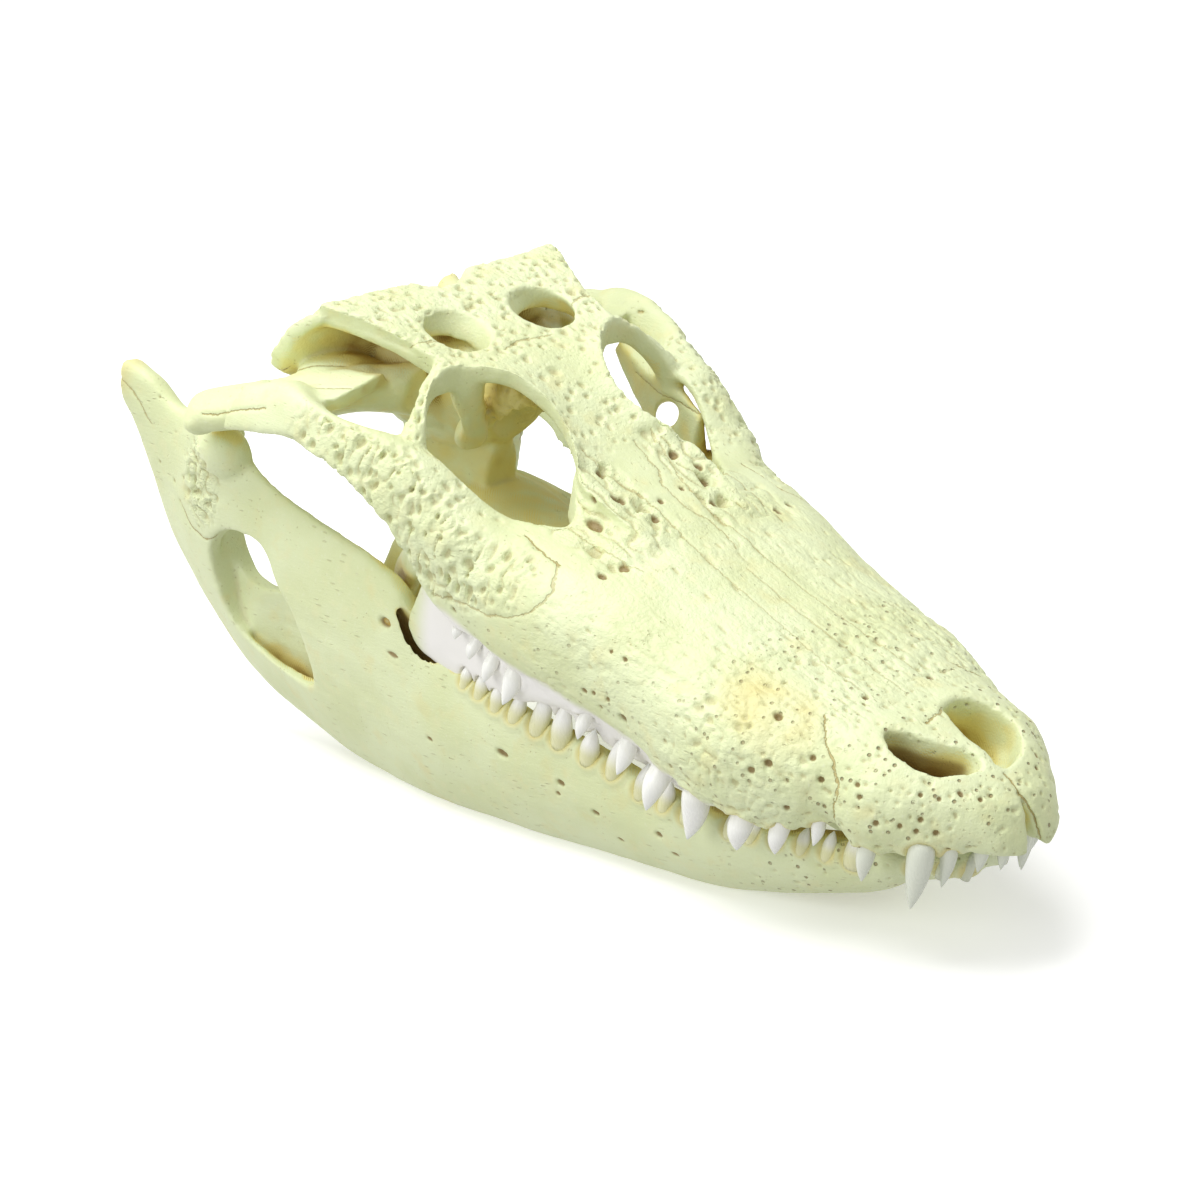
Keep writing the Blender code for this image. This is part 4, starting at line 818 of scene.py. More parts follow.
holes = {
    # (place, radius, depth, length over width)
    "jaw": [((-62.2, 223.9, -18.7), 1.9, 2.2, 1.4), ((-62.5, 218, -27.9), 0.9, 0.7, 4),
            ((-59.7, 198.2, -49.9), 0.8, 0.9, 2),
            ((-55.4, 168.7, -39.5), 1.3, 1.8, 2.2), ((-50.7, 145.9, -38.4), 1.2, 1.4, 1.5),
            ((-50.4, 146.5, -43.1), 0.8, 0.8, 1.4),
            ((-47.2, 131.3, -42.2), 1.1, 1.5, 1.6), ((-43, 107.6, -37.4), 1.0, 1.3, 1.6),
            ((-43.7, 122.7, -48.2), 0.8, 0.8, 2.2),
            ((-40.5, 101.6, -41.5), 0.8, 0.8, 2.5)],
    "maxilla": [((-64.8, 188.4, 6.3), 1.2, 1.6, 1.1), ((-54, 120.1, 2), 1.6, 2.0, 1.2),
                ((-56.4, 135.2, 3.7), 1.0, 1.0, 1.3),
                ((-55.8, 131.8, 4.9), 0.9, 1.0, 1), ((-55, 126.4, 5.4), 0.9, 1.0, 1),
                ((-54.6, 129.3, 1.2), 0.8, 0.9, 1),
                ((-52, 124.7, 20), 0.9, 0.9, 1), ((-52.9, 129.6, 20), 0.8, 0.8, 1),
                ((13.4, 61.1, 28.2), 1.4, 1.4, 1),
                ((-37.2, 73.6, 24.1), 1.5, 1.6, 1.2), ((-38.3, 56.8, 19.7), 1.2, 1.2, 1),
                ((-38.6, 52, 14.9), 1.2, 1.3, 1),
                ((-45.6, 67, 14.6), 1.4, 1.2, 1.2), ((-48.5, 70.8, 10.4), 1.3, 1.2, 1.1),
                ((-43.6, 59, 2.6), 1.2, 1.3, 1)],
    "premaxilla": [((-35.1, 41.1, 18.8), 1.0, 1.0, 1), ((-36.4, 38.7, 15.9), 1.0, 1.0, 1),
                   ((-31.6, 26.2, 12.1), 1.0, 1.0, 1),
                   ((-35.1, 31.9, 10.5), 1.1, 1.1, 1), ((-27.7, 22, 15.2), 1.1, 1.0, 1),
                   ((-25.2, 17.5, 11.8), 1.1, 1.0, 1),
                   ((-28.8, 22.1, 11.4), 1.0, 1.0, 1), ((-16.8, 18.6, 22.3), 1.0, 0.9, 1.3),
                   ((-12.5, 14.2, 21.6), 1.0, 1.0, 1),
                   ((-25.8, 25.6, 21.1), 0.9, 0.9, 1), ((-22.1, 21.3, 20.9), 0.9, 0.8, 1)],
    "brow": [((-24, 174.8, 40.8), 1.3, 1.6, 1.2), ((-17.8, 171.8, 41.8), 1.6, 1.8, 1.5),
             ((15.1, 181.3, 43.8), 1.8, 1.6, 1.3),
             ((16.9, 168.4, 41), 1.7, 1.8, 1.3), ((11.7, 157.9, 38.4), 1.6, 1.7, 1.5),
             ((-27.6, 169.9, 36.4), 2.2, 2.0, 1.8),
             ((-40.4, 150.4, 32), 1.5, 1.5, 1.4), ((-33.1, 148.8, 33.5), 1.7, 1.6, 1.4),
             ((-5, 165, 41), 1.2, 1.2, 1.2)],
}


def toothRoots(rows, body):
    # a raised collar round each tooth, and a yellow stain in the socket's lip
    for name, root, tip, radius in rows:
        for side in (1, -1):
            place = Vector((root[0] * side, root[1], root[2]))
            near = np.array([i for spot, i, far in body.kd.find_range(place, radius + 5)], int)
            if len(near):
                far = np.linalg.norm(body.points[near] - np.array(place), axis=1)
                body.move[near] += 0.7 * np.exp(-((far - radius - 1.4) / 1.2) ** 2)
                body.stain[near] = np.maximum(body.stain[near],
                                              0.9 * ramp(-far, -radius - 2.5, -radius + 0.2))


def carveUpper(body):
    p, n = body.points, body.normals
    x, y, z = np.abs(p[:, 0]), p[:, 1], p[:, 2]
    outward = n[:, 0] * np.sign(p[:, 0])
    open_ = 1 - ramp(body.hollow, 0.35, 0.7)
    up = ramp(n[:, 2], 0.1, 0.6)
    outer = open_ * np.maximum(up, ramp(outward, 0.2, 0.6))
    edge = smooth(snout["toothEdge"], y)
    wide = smooth(snout["halfWidth"], y)
    body.move += outer * (0.30 * noise(p, 16, 1) + 0.2 * noise(p, 7, 2) + 0.07 * noise(p, 3.2, 3))
    body.move += (1 - outer) * (0.2 * noise(p, 9, 4) + 0.07 * noise(p, 3.5, 5))
    tableTop = ramp(y, 232, 242) * up * ramp(z, 53, 58) * open_
    tableTop *= ramp(np.hypot(x - 17.5, y - 253.5), 10.5, 13)
    body.dig(pits(p, tableTop, 3.9, 1.6, 10, (1, 1, 1), 0.9), 1.35, 0.3)
    body.dig(rills(p, (2.4, 3.2, 4), 12) * tableTop, 0.35)
    body.folds = np.maximum(body.folds, 0.45 * tableTop)
    between = ramp(y, 186, 196) * (1 - ramp(y, 236, 244)) * ramp(n[:, 2], 0.4, 0.8) * open_
    body.dig(pits(p, between, 3.9, 1.5, 20, (1, 1.2, 1), 0.9), 1.05, 0.22)
    body.folds = np.maximum(body.folds, 0.4 * between)
    foreBrow = ramp(y, 140, 156) * (1 - ramp(y, 186, 198)) * ramp(x, 5, 11) * (1 - ramp(x, 36, 42))
    foreBrow *= up * open_
    body.dig(pits(p, foreBrow, 6.2, 2.4, 30, (1, 1.7, 1), 0.85), 2.2, 0.3)
    body.dig(rills(p, (3.4, 9, 5), 33) * foreBrow, 1.1)
    body.folds = np.maximum(body.folds, 0.6 * foreBrow)
    cheekFace = ramp(x, 38, 46) * ramp(y, 158, 176) * (1 - ramp(y, 250, 266)) * ramp(outward, 0.15, 0.5)
    cheekFace *= open_
    cheekFace *= ramp(z, 4 + 9 * ramp(-y, -190, -165), 10 + 9 * ramp(-y, -190, -165))
    body.dig(pits(p, cheekFace, 4.0, 1.65, 40, (1, 0.85, 1.25), 0.92), 1.6, 0.3)
    body.dig(rills(p, (4.5, 2.3, 8), 44) * cheekFace, 0.8)
    body.folds = np.maximum(body.folds, 0.5 * cheekFace)
    midSnout = ramp(y, 50, 66) * (1 - ramp(y, 150, 170)) * outer
    body.dig(pits(p, midSnout * ramp(z, 14, 24), 7, 1.4, 50, (0.8, 2.4, 1), 0.75), 0.7, 0.1)
    body.move += midSnout * 0.22 * noise(p, (2.6, 14, 3), 52)
    body.dig(rills(p, (2.6, 7, 4), 54) * midSnout * ramp(noise(p, 17, 55), -0.2, 0.4), 0.4)
    body.dig(pits(p, midSnout, 4.0, 1.1, 56, (0.8, 1.9, 1), 0.8), 0.4, 0.05)
    body.folds = np.maximum(body.folds, 0.35 * midSnout)
    flank = ramp(y, 48, 58) * (1 - ramp(y, 176, 192)) * ramp(outward, 0.4, 0.7)
    flank *= open_ * (1 - ramp(z, 16, 24))
    # dots marks where the finish paints shade in small dark dots
    body.dots = np.maximum(body.dots, 0.5 * flank)
    fore = ramp(y, 50, 60) * (1 - ramp(y, 92, 112)) * open_ * outer
    body.dig(pits(p, fore, 4.4, 1.4, 62, (1, 1.3, 1), 0.85), 0.9, 0.15)
    body.dig(rills(p, (3, 4, 4), 64) * fore, 0.45)
    body.dots = np.maximum(body.dots, 0.75 * fore)
    body.folds = np.maximum(body.folds, 0.4 * fore)
    tip = (1 - ramp(y, 50, 58)) * open_ * np.maximum(outer, ramp(-n[:, 1], 0.2, 0.6))
    body.dig(pits(p, tip, 4.3, 1.2, 70, (1, 1, 1), 0.85), 0.75, 0.1)
    body.dig(pits(p, tip, 3.3, 0.95, 74, (1, 1.2, 1), 0.8), 0.6, 0.3)
    body.move += tip * (0.26 * noise(p, 4.5, 72) + 0.08 * noise(p, 2.2, 73))
    body.dots = np.maximum(body.dots, tip)
    body.folds = np.maximum(body.folds, 0.2 * tip)
    body.gum = ramp(y, 74, 96) * (1 - ramp(y, 204, 214)) * ramp(edge + 1.6 - z, -2.5, 1.5)
    body.gum *= ramp(x, wide - 24, wide - 17)
    flapGroove = ramp(y, 248, 256) * ramp(z, 58, 60)
    flapGroove *= np.exp(-((x - smooth(table["side"], y) + 0.8) / 1.1) ** 2)
    body.dig(flapGroove * open_, 0.9, 0.15)
    crumbs = ramp(-np.linalg.norm(p - np.array([-11, 231, 43]), axis=1), -13, -7)
    body.move += crumbs * (0.8 * noise(p, 2.6, 80) + 0.5 * noise(p, 1.6, 81))
    body.stain = np.maximum(body.stain, crumbs * 0.9)
    # painted shade inside the nostrils, and in the ear recess where it is shut in
    nostril = ramp(-np.hypot((p[:, 0] + 13) / 11, (y - 37) / 13), -1.3, -1.0)
    nostril *= ramp(-z, -24, -19) * ramp(y, 21, 31)
    ear = ramp(-np.linalg.norm((p - np.array([-45, 268, 50])) / np.array([1, 1.2, 0.8]), axis=1), -16, -9)
    body.pit = np.maximum(body.pit, np.maximum(0.7 * nostril, 0.4 * ear * ramp(body.hollow, 0.4, 0.7)))
    patch = ramp(-np.linalg.norm((p - np.array([-37, 78, 24])) / np.array([1, 1.4, 1]), axis=1), -17, -6)
    body.stain = np.maximum(body.stain, patch * (0.55 + 0.4 * noise(p, 5, 90)))
    toothRoots(frontTeethRows() + cheekTeethRows(), body)
    # each hole is sunk and painted dark, as shade inside it
    for kind in ("maxilla", "premaxilla", "brow"):
        for place, radius, depth, long in holes[kind]:
            body.hole(place, radius, depth, long)
            body.hole((-place[0] + 0.8, place[1] + 2, place[2]), radius * 0.9, depth, long)


def carveLower(body):
    p, n = body.points, body.normals
    x, y, z = np.abs(p[:, 0]), p[:, 1], p[:, 2]
    outward = n[:, 0] * np.sign(p[:, 0])
    open_ = 1 - ramp(body.hollow, 0.45, 0.8)
    outer = ramp(outward, 0.1, 0.5)
    body.move += 0.26 * noise(p, 18, 101) + 0.12 * noise(p, 7, 102) + 0.05 * noise(p, 3.2, 103)
    body.move += outer * 0.1 * noise(p, (3, 22, 3), 104)
    front = (1 - ramp(y, 62, 92)) * np.maximum(outer, ramp(-n[:, 1], 0.2, 0.6)) * open_
    # dots marks where the finish paints shade in small dark dots
    body.dots = front
    body.dig(pits(p, front, 4.4, 1.1, 110, (1, 1.15, 1), 0.8), 0.5, 0.1)
    middle = ramp(y, 60, 90) * (1 - ramp(y, 150, 190)) * outer * ramp(-z, 30, 44)
    body.dig(pits(p, middle, 7, 0.8, 112, (1, 3.2, 1), 0.6), 0.5, 0.4)
    rough = (p * np.array([0, 1, 1]) - np.array([0, 313, -9])) / np.array([1, 0.8, 1.5])
    rough = ramp(-np.linalg.norm(rough, axis=1), -15, -7) * outer
    body.dig(pits(p, rough, 4.6, 2.0, 120, (1, 1, 1.2), 0.95), 1.8, 0.25)
    body.dig(rills(p, (3, 3, 3), 124) * rough, 1.0, 0.1)
    body.folds = rough
    rear = ramp(y, 285, 300) * outer
    body.dig(pits(p, rear, 8.5, 0.9, 130, (1, 1, 1), 0.5), 0.7, 0.6)
    body.move -= 0.15 * ramp(y, 350, 358)
    body.stain = np.maximum(body.stain, 0.7 * ramp(y, 352, 361) * ramp(z, -2, 8))
    toothRoots(lowerTeethRows(), body)
    # each hole is sunk and painted dark, as shade inside it
    for place, radius, depth, long in holes["jaw"]:
        body.hole(place, radius, depth, long)
        body.hole((-place[0], place[1] + 3, place[2] - 1), radius * 0.9, depth, long)


carvers = {"upper": Carver(upper, walls), "lower": Carver(lower, walls)}
carveUpper(carvers["upper"])
carveLower(carvers["lower"])
for k, (name, (corners, jag, strength, twin)) in enumerate(seams.items()):
    body = carvers["lower" if name in ("angularSeam", "retroSeam") else "upper"]
    body.line(corners, jag, strength=strength, seed=200 + k)
    if twin:
        body.line([(-x, y, z) for x, y, z in corners], jag, strength=strength, seed=300 + k)
for body in carvers.values():
    body.finish()

print("stage: setting down")
tipOver = Matrix.Scale(mm, 4) @ Matrix.Rotation(math.radians(skin["noseDown"]), 4, "X")
crowns = {}
toothRows = {"upperTeeth": (frontTeethRows() + cheekTeethRows(), frontTeethRows(True) + cheekTeethRows()),
             "lowerTeeth": (lowerTeethRows(), lowerTeethRows())}
for name, (left, right) in toothRows.items():
    draw = np.random.default_rng(len(left))
    bends = [draw.uniform(-0.6, 0.9) for row in left]
    crowns[name + "Left"] = [loft(*tooth(*row, bend=bend)) for row, bend in zip(left, bends)]
    made = [loft(*tooth(*row, bend=bend)) for row, bend in zip(right, bends)]
    crowns[name + "Right"] = [mirrored(piece) for piece in made]
    for piece in made:
        bpy.data.objects.remove(piece, do_unlink=True)


def gathered(name, made):
    # several separate closed bodies as the mesh of one object
    shell = bmesh.new()
    for piece in made:
        shell.from_mesh(piece.data)
        bpy.data.objects.remove(piece, do_unlink=True)
    mesh = bpy.data.meshes.new(name)
    shell.to_mesh(mesh)
    shell.free()
    whole = bpy.data.objects.new(name, mesh)
    bpy.context.scene.collection.objects.link(whole)
    return whole


def crownMarks(body, rows):
    # how far along its own crown each point of a tooth lies
    n = teeth["sides"]
    values = np.concatenate([np.repeat([way for way, wide in teeth["profile"]], n) for row in rows])
    layer = body.data.attributes.new("crown", "FLOAT", "POINT")
    layer.data.foreach_set("value", values.astype(np.float32))


toothPieces = {}
for name, made in crowns.items():
    whole = gathered(name, made)
    crownMarks(whole, made)
    toothPieces[name] = whole
placedThings = [upper, lower] + list(toothPieces.values())
for thing in placedThings:
    thing.data.transform(tipOver)
boxes = [readMesh(thing.data)[0] for thing in placedThings]
low = np.min([p.min(axis=0) for p in boxes], axis=0)
high = np.max([p.max(axis=0) for p in boxes], axis=0)
setDown = Matrix.Translation((0, -(low[1] + high[1]) / 2, -low[2] - skin["flatDepth"] * mm))
for thing in placedThings:
    thing.data.transform(setDown)
placed = setDown @ tipOver

print("stage: bones")


def region(name, planes):
    # a block: the part of space inside every (normal, distance) plane of the skull's frame
    shell = bmesh.new()
    bmesh.ops.create_cube(shell, size=1200)
    for normal, distance in planes:
        normal = Vector(normal)
        out = normal.normalized()
        loose = bmesh.ops.bisect_plane(shell, geom=shell.verts[:] + shell.edges[:] + shell.faces[:],
                                       plane_co=out * (distance / normal.length), plane_no=out,
                                       clear_outer=True)
        border = [item for item in loose["geom_cut"] if isinstance(item, bmesh.types.BMEdge)]
        bmesh.ops.holes_fill(shell, edges=border, sides=0)
    bmesh.ops.recalc_face_normals(shell, faces=shell.faces)
    mesh = bpy.data.meshes.new(name)
    shell.to_mesh(mesh)
    shell.free()
    mesh.transform(placed)
    made = bpy.data.objects.new(name, mesh)
    bpy.context.scene.collection.objects.link(made)
    return made


def take(rest, name, planes):
    bone = bpy.data.objects.new(name, rest.data.copy())
    bpy.context.scene.collection.objects.link(bone)
    block = region(name + "Block", planes)
    cut(bone, block, "INTERSECT")
    cut(rest, block)
    bpy.data.objects.remove(block, do_unlink=True)
    return bone


floor = region("underFloor", [])
floor.data.transform(placed.inverted())
floor.data.transform(Matrix.Translation((0, 0, -0.6)) @ Matrix.Scale(mm, 4))
cut(lower, floor)
bpy.data.objects.remove(floor, do_unlink=True)
wholeSkins = {"upper": upper.data.copy(), "lower": lower.data.copy()}
pieces = {}
pieces["premaxillaBones"] = (take(upper, "premaxillaBones", [((0, 1, 0), 54)]),
                             ["premaxilla_left", "premaxilla_right"])
pieces["maxillaLeft"] = (take(upper, "maxillaLeft", [((0, 1, 0), 148), ((-1, 0, 0), 0)]), ["maxilla_left"])
pieces["maxillaRight"] = (take(upper, "maxillaRight", [((0, 1, 0), 148)]), ["maxilla_right", "nasals"])
pieces["cheekLeft"] = (take(upper, "cheekLeft", [((-1, 0, 0), -36), ((0, -0.4, 1), -46)]),
                       ["jugal_left", "quadratojugal_left", "ectopterygoid_left"])
pieces["cheekRight"] = (take(upper, "cheekRight", [((1, 0, 0), -36), ((0, -0.4, 1), -46)]),
                        ["jugal_right", "quadratojugal_right", "ectopterygoid_right"])
pieces["browBones"] = (take(upper, "browBones", [((0, 1, 0), 236)]),
                       ["frontal", "prefrontal_left", "prefrontal_right", "lacrimal_left", "lacrimal_right",
                        "palatines"])
pieces["tableBones"] = (take(upper, "tableBones", [((0, 0, -1), -52)]),
                        ["parietal", "postorbital_left", "postorbital_right", "squamosal_left",
                         "squamosal_right"])
pieces["rearBones"] = (upper, ["braincase", "pterygoids", "quadrate_left", "quadrate_right"])
pieces["dentaryLeft"] = (take(lower, "dentaryLeft", [((0, 1, 0), 205), ((-1, 0, 0), 0)]), ["dentary_left"])
pieces["dentaryRight"] = (take(lower, "dentaryRight", [((0, 1, 0), 205)]), ["dentary_right"])
pieces["jawRearLeft"] = (take(lower, "jawRearLeft", [((-1, 0, 0), 0)]),
                         ["surangular_left", "angular_left", "articular_left"])
pieces["jawRearRight"] = (lower, ["surangular_right", "angular_right", "articular_right"])
upper.name, lower.name = "rearBones", "jawRearRight"


def mendMarks(body, source):
    # points that a cut made take their marks from the nearest old point
    mesh = body.data
    count = len(mesh.vertices)
    mark = np.zeros(count * 4, np.float32)
    mesh.attributes["ornamentAndDotShade"].data.foreach_get("color", mark)
    fresh = np.flatnonzero(np.abs(mark.reshape(-1, 4)[:, 2] - oldPoint) > 1e-3)
    print("points mended on", body.name, len(fresh))
    for name in ("paintedShadeAndGum", "mark", "ornamentAndDotShade"):
        values = np.zeros(count * 4, np.float32)
        mesh.attributes[name].data.foreach_get("color", values)
        values = values.reshape(-1, 4)
        for i in fresh:
            values[i] = source[name][source["kd"].find(mesh.vertices[i].co)[1]]
        mesh.attributes[name].data.foreach_set("color", values.ravel())


def markSource(mesh):
    points = readMesh(mesh)[0]
    kd = KDTree(len(points))
    for i, point in enumerate(points):
        kd.insert(point, i)
    kd.balance()
    source = {"kd": kd}
    for name in ("paintedShadeAndGum", "mark", "ornamentAndDotShade"):
        values = np.zeros(len(points) * 4, np.float32)
        mesh.attributes[name].data.foreach_get("color", values)
        source[name] = values.reshape(-1, 4)
    return source


sources = {name: markSource(mesh) for name, mesh in wholeSkins.items()}
lowerOnes = ("dentaryLeft", "dentaryRight", "jawRearLeft", "jawRearRight")
for name, (body, nodes) in pieces.items():
    mendMarks(body, sources["lower" if name in lowerOnes else "upper"])
    for polygon in body.data.polygons:
        polygon.use_smooth = True
    body.data.set_sharp_from_angle(angle=math.radians(66))

print("stage: finishes")


class Value:
    # a node socket that takes part in ordinary arithmetic

    def __init__(self, finish, socket):
        self.finish, self.socket = finish, socket

    def maths(self, operation, *values):
        return self.finish.node("ShaderNodeMath", {"operation": operation}, dict(enumerate(values)))

    def __add__(self, other):
        return self.maths("ADD", self, other)

    __radd__ = __add__

    def __sub__(self, other):
        return self.maths("SUBTRACT", self, other)

    def __rsub__(self, other):
        return self.maths("SUBTRACT", other, self)

    def __mul__(self, other):
        return self.maths("MULTIPLY", self, other)

    __rmul__ = __mul__

    def __truediv__(self, other):
        return self.maths("DIVIDE", self, other)

    def __pow__(self, other):
        return self.maths("POWER", self, other)

    def __abs__(self):
        return self.maths("ABSOLUTE", self)

    def atLeast(self, other):
        return self.maths("MAXIMUM", self, other)

    def atMost(self, other):
        return self.maths("MINIMUM", self, other)

    def between(self, low, high):
        # 0 below low and 1 above high, smooth between
        return self.finish.node("ShaderNodeMapRange", {"interpolation_type": "SMOOTHSTEP", "clamp": True},
                                {"Value": self, "From Min": low, "From Max": high})


class Finish:
    # a material and the one method that makes its nodes

    def __init__(self, name):
        self.material = bpy.data.materials.new(name)
        self.material.use_nodes = True
        self.tree = self.material.node_tree
        self.shader = self.tree.nodes["Principled BSDF"]

    def node(self, kind, settings=None, sockets=None, out=0):
        made = self.tree.nodes.new(kind)
        for key, value in (settings or {}).items():
            setattr(made, key, value)
        for key, value in (sockets or {}).items():
            self.feed(made.inputs[key], value)
        return Value(self, made.outputs[out])

    def feed(self, socket, value):
        if isinstance(value, Value):
            self.tree.links.new(value.socket, socket)
        else:
            socket.default_value = value

    def set(self, **values):
        for key, value in values.items():
            self.feed(self.shader.inputs[key.replace("_", " ")], value)

    def mix(self, amount, a, b):
        settings = {"data_type": "RGBA", "clamp_factor": True}
        return self.node("ShaderNodeMix", settings, {0: amount, 6: a, 7: b}, out=2)

    def noise(self, where, scale, detail=2.0, rough=0.5):
        return self.node("ShaderNodeTexNoise", {}, {"Vector": where, "Scale": scale, "Detail": detail,
                                                    "Roughness": rough})

    def cells(self, where, scale, chaos=1.0):
        return self.node("ShaderNodeTexVoronoi", {}, {"Vector": where, "Scale": scale, "Randomness": chaos})

    def places(self):
        # millimetres in the object's own frame
        return self.stretched(self.node("ShaderNodeTexCoord", out=3), (1000, 1000, 1000))

    def stretched(self, where, factor):
        return self.node("ShaderNodeVectorMath", {"operation": "MULTIPLY"}, {0: where, 1: factor})

    def attribute(self, name, out):
        return self.node("ShaderNodeAttribute", {"attribute_name": name}, out=out)

    def parts(self, name):
        # the three numbers of a colour mark, then its fourth
        colour = self.attribute(name, 0)
        split = self.tree.nodes.new("ShaderNodeSeparateColor")
        self.tree.links.new(colour.socket, split.inputs[0])
        return [Value(self, socket) for socket in split.outputs] + [self.attribute(name, 3)]


# bone colours, and painted light and shade: hollow is painted bounce light in hollows; deep, crease and pit
# are painted shade
boneAndShadeTones = {
    "light": (0.74, 0.80, 0.49, 1), "green": (0.69, 0.745, 0.42, 1), "cream": (0.755, 0.77, 0.44, 1),
    "yellow": (0.74, 0.66, 0.28, 1), "hollow": (0.78, 0.66, 0.20, 1), "deep": (0.40, 0.24, 0.04, 1),
    "pit": (0.24, 0.15, 0.04, 1), "creaseShade": (0.52, 0.48, 0.24, 1), "seam": (0.40, 0.29, 0.07, 1),
    "gum": (0.91, 0.89, 0.85, 1), "chalk": (0.80, 0.83, 0.63, 1),
}


def boneFinish(name):
    made = Finish(name)
    where = made.places()
    hollow, creaseShade, pit, gum = made.parts("paintedShadeAndGum")
    seam, presence, stain = made.parts("mark")[:3]
    dots, folds = made.parts("ornamentAndDotShade")[:2]
    broad = made.noise(where, 0.035, 3)
    middle = made.noise(where, 0.16, 3)
    fine = made.noise(where, 0.9, 3, 0.6)
    colour = made.mix(broad.between(0.38, 0.62), boneAndShadeTones["light"], boneAndShadeTones["green"])
    colour = made.mix(middle.between(0.5, 0.72) * 0.55, colour, boneAndShadeTones["cream"])
    colour = made.mix(fine.between(0.55, 0.75) * 0.35, colour, boneAndShadeTones["chalk"])
    spots = made.noise(where, 0.09, 4).between(0.56, 0.72) * 0.28
    colour = made.mix((stain + spots).atMost(1.0), colour, boneAndShadeTones["yellow"])
    # painted light and shade: shut-in hollows turn yellow as bounce light; deep hollows, creases and pits
    # darken as shade
    colour = made.mix(hollow.between(0.5, 0.87) * 0.8, colour, boneAndShadeTones["hollow"])
    colour = made.mix(hollow.between(0.84, 0.98) * 0.8, colour, boneAndShadeTones["deep"])
    colour = made.mix(creaseShade.between(0.55, 0.95) * 0.6, colour, boneAndShadeTones["creaseShade"])
    colour = made.mix(pit.between(0.1, 0.8) * 0.85, colour, boneAndShadeTones["pit"])
    # painted shade: small dark dots in the pitted areas, also sunk in the bump
    dot = (1 - made.cells(where, 0.26).between(0.09, 0.2)) * dots * made.noise(where, 0.3).between(0.3, 0.45)
    dot = dot.atLeast((1 - made.cells(where, 0.14).between(0.05, 0.11)) * dots)
    colour = made.mix(dot * 0.72, colour, boneAndShadeTones["pit"])
    jag = (made.noise(where, 0.8, 2) - 0.5) * 0.9
    line = (1 - abs(seam + jag).between(0.05, 0.32)) * presence
    colour = made.mix(line * 0.8, colour, boneAndShadeTones["seam"])
    dash = made.cells(made.stretched(where, (0.55, 0.12, 0.55)), 1.0)
    dashes = (1 - dash.between(0.1, 0.22)) * (1 - hollow.between(0.3, 0.5))
    dashes = dashes * made.noise(where, 0.05).between(0.45, 0.6)
    speck = (1 - made.cells(where, 0.55).between(0.08, 0.2)) * made.noise(where, 0.11).between(0.5, 0.62)
    colour = made.mix(dashes * 0.35, colour, boneAndShadeTones["creaseShade"])
    colour = made.mix(speck * 0.3, colour, boneAndShadeTones["seam"])
    colour = made.mix(gum, colour, boneAndShadeTones["gum"])
    made.set(Base_Color=colour, Roughness=fine * 0.18 + 0.42)
    grain = made.noise(where, 2.2, 3, 0.65)
    strands = made.noise(made.stretched(where, (1.0, 0.16, 1.0)), 1.3, 2)
    height = grain * 0.10 + strands * 0.16 + fine * 0.22 - line * 0.5 - dashes * 0.3 - speck * 0.25
    ridge = abs(made.noise(made.stretched(where, (1.0, 0.6, 1.0)), 0.42, 3, 0.6) - 0.5).between(0.0, 0.12)
    cup = made.cells(where, 0.5).between(0.1, 0.5)
    height = height + (ridge * 0.3 + cup * 0.4) * folds - dot * 1.0
    bump = made.node("ShaderNodeBump", {}, {"Strength": 0.8, "Distance": 0.0008,
                                            "Height": height * (1 - gum * 0.9)})
    made.set(Normal=bump)
    return made.material


def toothFinish(name, rootTone, rootReach):
    made = Finish(name)
    where = made.places()
    crown = made.attribute("crown", 2)
    streak = made.noise(made.stretched(where, (1.0, 1.0, 0.2)), 1.2, 3)
    colour = made.mix(crown.between(0.75, 1.0), (0.93, 0.93, 0.88, 1), (0.84, 0.87, 0.83, 1))
    colour = made.mix((1 - crown.between(0.0, rootReach)) * 0.9, colour, rootTone)
    across = made.node("ShaderNodeSeparateXYZ", {}, {0: where}, out=1)
    colour = made.mix((1 - across.between(-140, -130)) * 0.8, colour, (0.70, 0.74, 0.60, 1))
    colour = made.mix(streak.between(0.5, 0.8) * 0.2, colour, (0.80, 0.78, 0.62, 1))
    made.set(Base_Color=colour, Roughness=streak * 0.15 + 0.2)
    bump = made.node("ShaderNodeBump", {}, {"Strength": 0.3, "Distance": 0.0003, "Height": streak})
    made.set(Normal=bump)
    return made.material


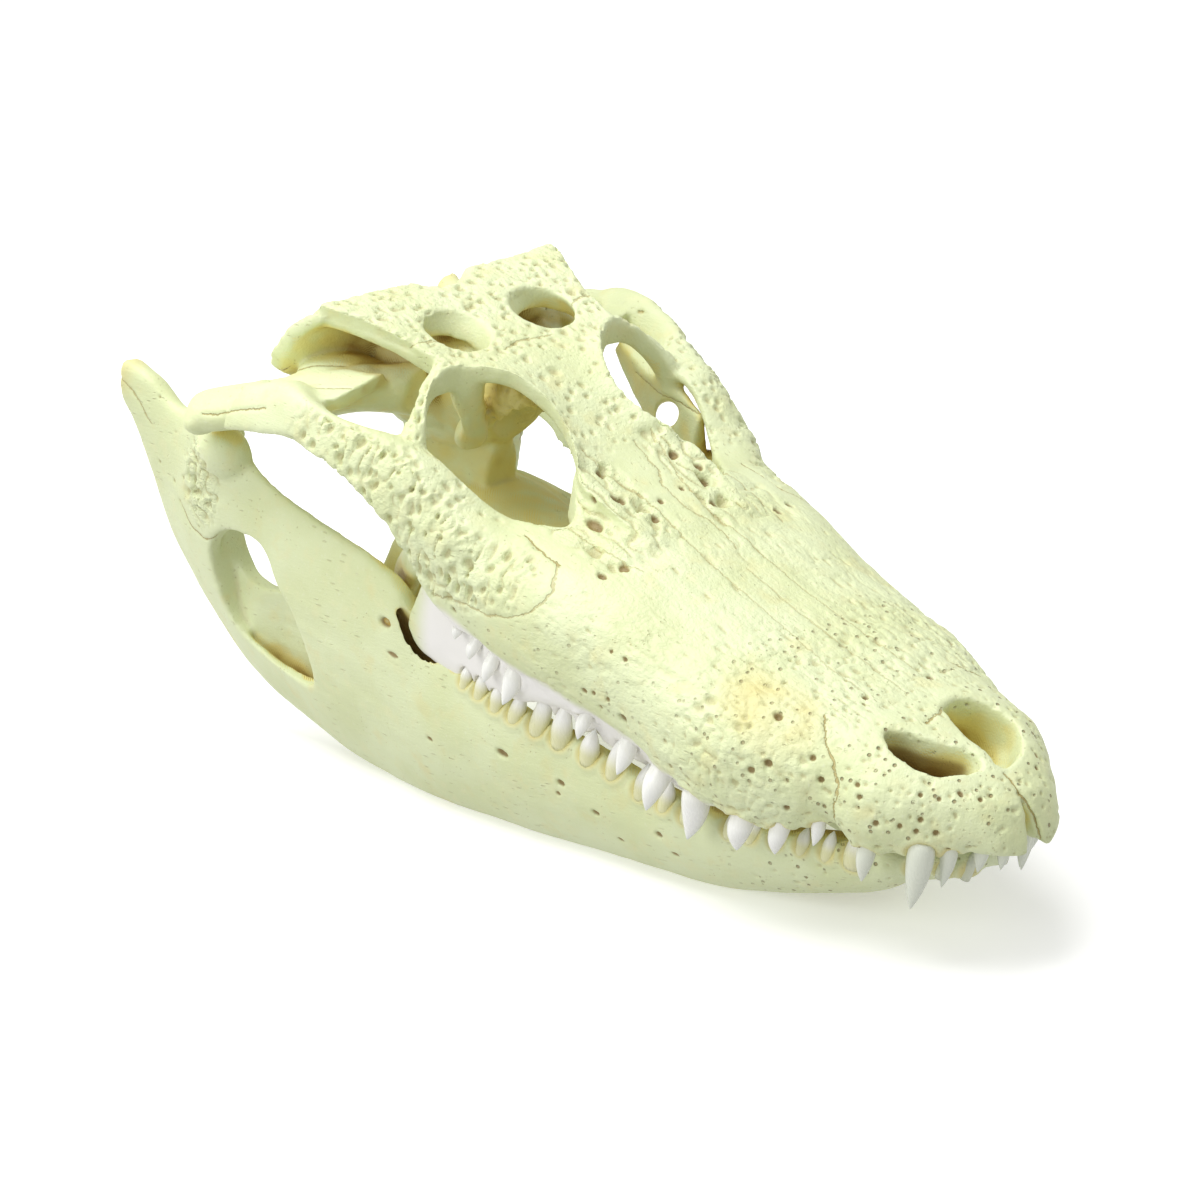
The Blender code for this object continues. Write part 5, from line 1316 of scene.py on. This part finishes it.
bone = boneFinish("dryBone")
enamel = {"upper": toothFinish("upperEnamel", (0.88, 0.88, 0.82, 1), 0.2),
          "lower": toothFinish("lowerEnamel", (0.74, 0.73, 0.38, 1), 0.62)}
inner = ("rearBones",)
for name, (body, nodes) in pieces.items():
    body.data.materials.clear()
    body.data.materials.append(bone)
    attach(body, "root")
    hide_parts(*nodes)
    "inner_bone" if name in inner else "bone"
for name, body in toothPieces.items():
    body.data.materials.clear()
    body.data.materials.append(enamel[name[:5]])
    for polygon in body.data.polygons:
        polygon.use_smooth = True
    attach(body, "root")
for thing in list(bpy.data.objects):
    if thing.name.endswith("Mirror"):
        bpy.data.objects.remove(thing, do_unlink=True)
for name, (body, nodes) in pieces.items():
    print(name, len(body.data.polygons), len(body.data.vertices))

print("stage: floor, light and camera")
ground = meshObject("studioFloor", [(-6, -6, 0), (6, -6, 0), (6, 6, 0), (-6, 6, 0)], [(0, 1, 2, 3)])
paper = Finish("paleFloor")
paper.set(Base_Color=(0.9, 0.9, 0.9, 1), Roughness=0.9, Emission_Color=(1, 1, 1, 1), Emission_Strength=0.28)
ground.data.materials.append(paper.material)
ground.visible_diffuse = False


def softLight(name, place, size, power, tint=(1, 1, 1)):
    lamp = bpy.data.lights.new(name, "AREA")
    lamp.shape, lamp.size, lamp.energy, lamp.color = "DISK", size, power, tint
    made = bpy.data.objects.new(name, lamp)
    made.location = place
    made.rotation_euler = (Vector((0, 0, 0.06)) - Vector(place)).to_track_quat("-Z", "Y").to_euler()
    bpy.context.scene.collection.objects.link(made)


softLight("overhead", (-0.35, 0.35, 1.6), 1.4, 22.8)
softLight("side", (-1.5, 0.2, 0.7), 1.0, 8)
world = bpy.data.worlds.new("studio")
world.use_nodes = True
world.node_tree.nodes["Background"].inputs["Color"].default_value = (1, 1, 1, 1)
world.node_tree.nodes["Background"].inputs["Strength"].default_value = 0.58
bpy.context.scene.world = world
bpy.context.scene.view_settings.view_transform = "Standard"

view = {
    # the camera in the skull's frame: place in mm, then the picture's right, down and depth
    "place": (-645.17, -458.51, 548.06), "right": (0.75277, -0.64789, 0.11653),
    "down": (-0.2676, -0.4629, -0.8451), "look": (0.60145, 0.60497, -0.52180),
    "focal": 3300, "frame": 1200,
}
lens = bpy.data.cameras.new("photoView")
lens.sensor_width = 36
lens.lens = lens.sensor_width * view["focal"] / view["frame"]
camera = bpy.data.objects.new("photoView", lens)
bpy.context.scene.collection.objects.link(camera)
turn = Matrix((Vector(view["right"]), -Vector(view["down"]), -Vector(view["look"]))).transposed().to_4x4()
turned = setDown @ Matrix.Rotation(math.radians(skin["noseDown"]), 4, "X") @ turn
turned.translation = placed @ Vector(view["place"])
camera.matrix_world = turned
bpy.context.scene.camera = camera
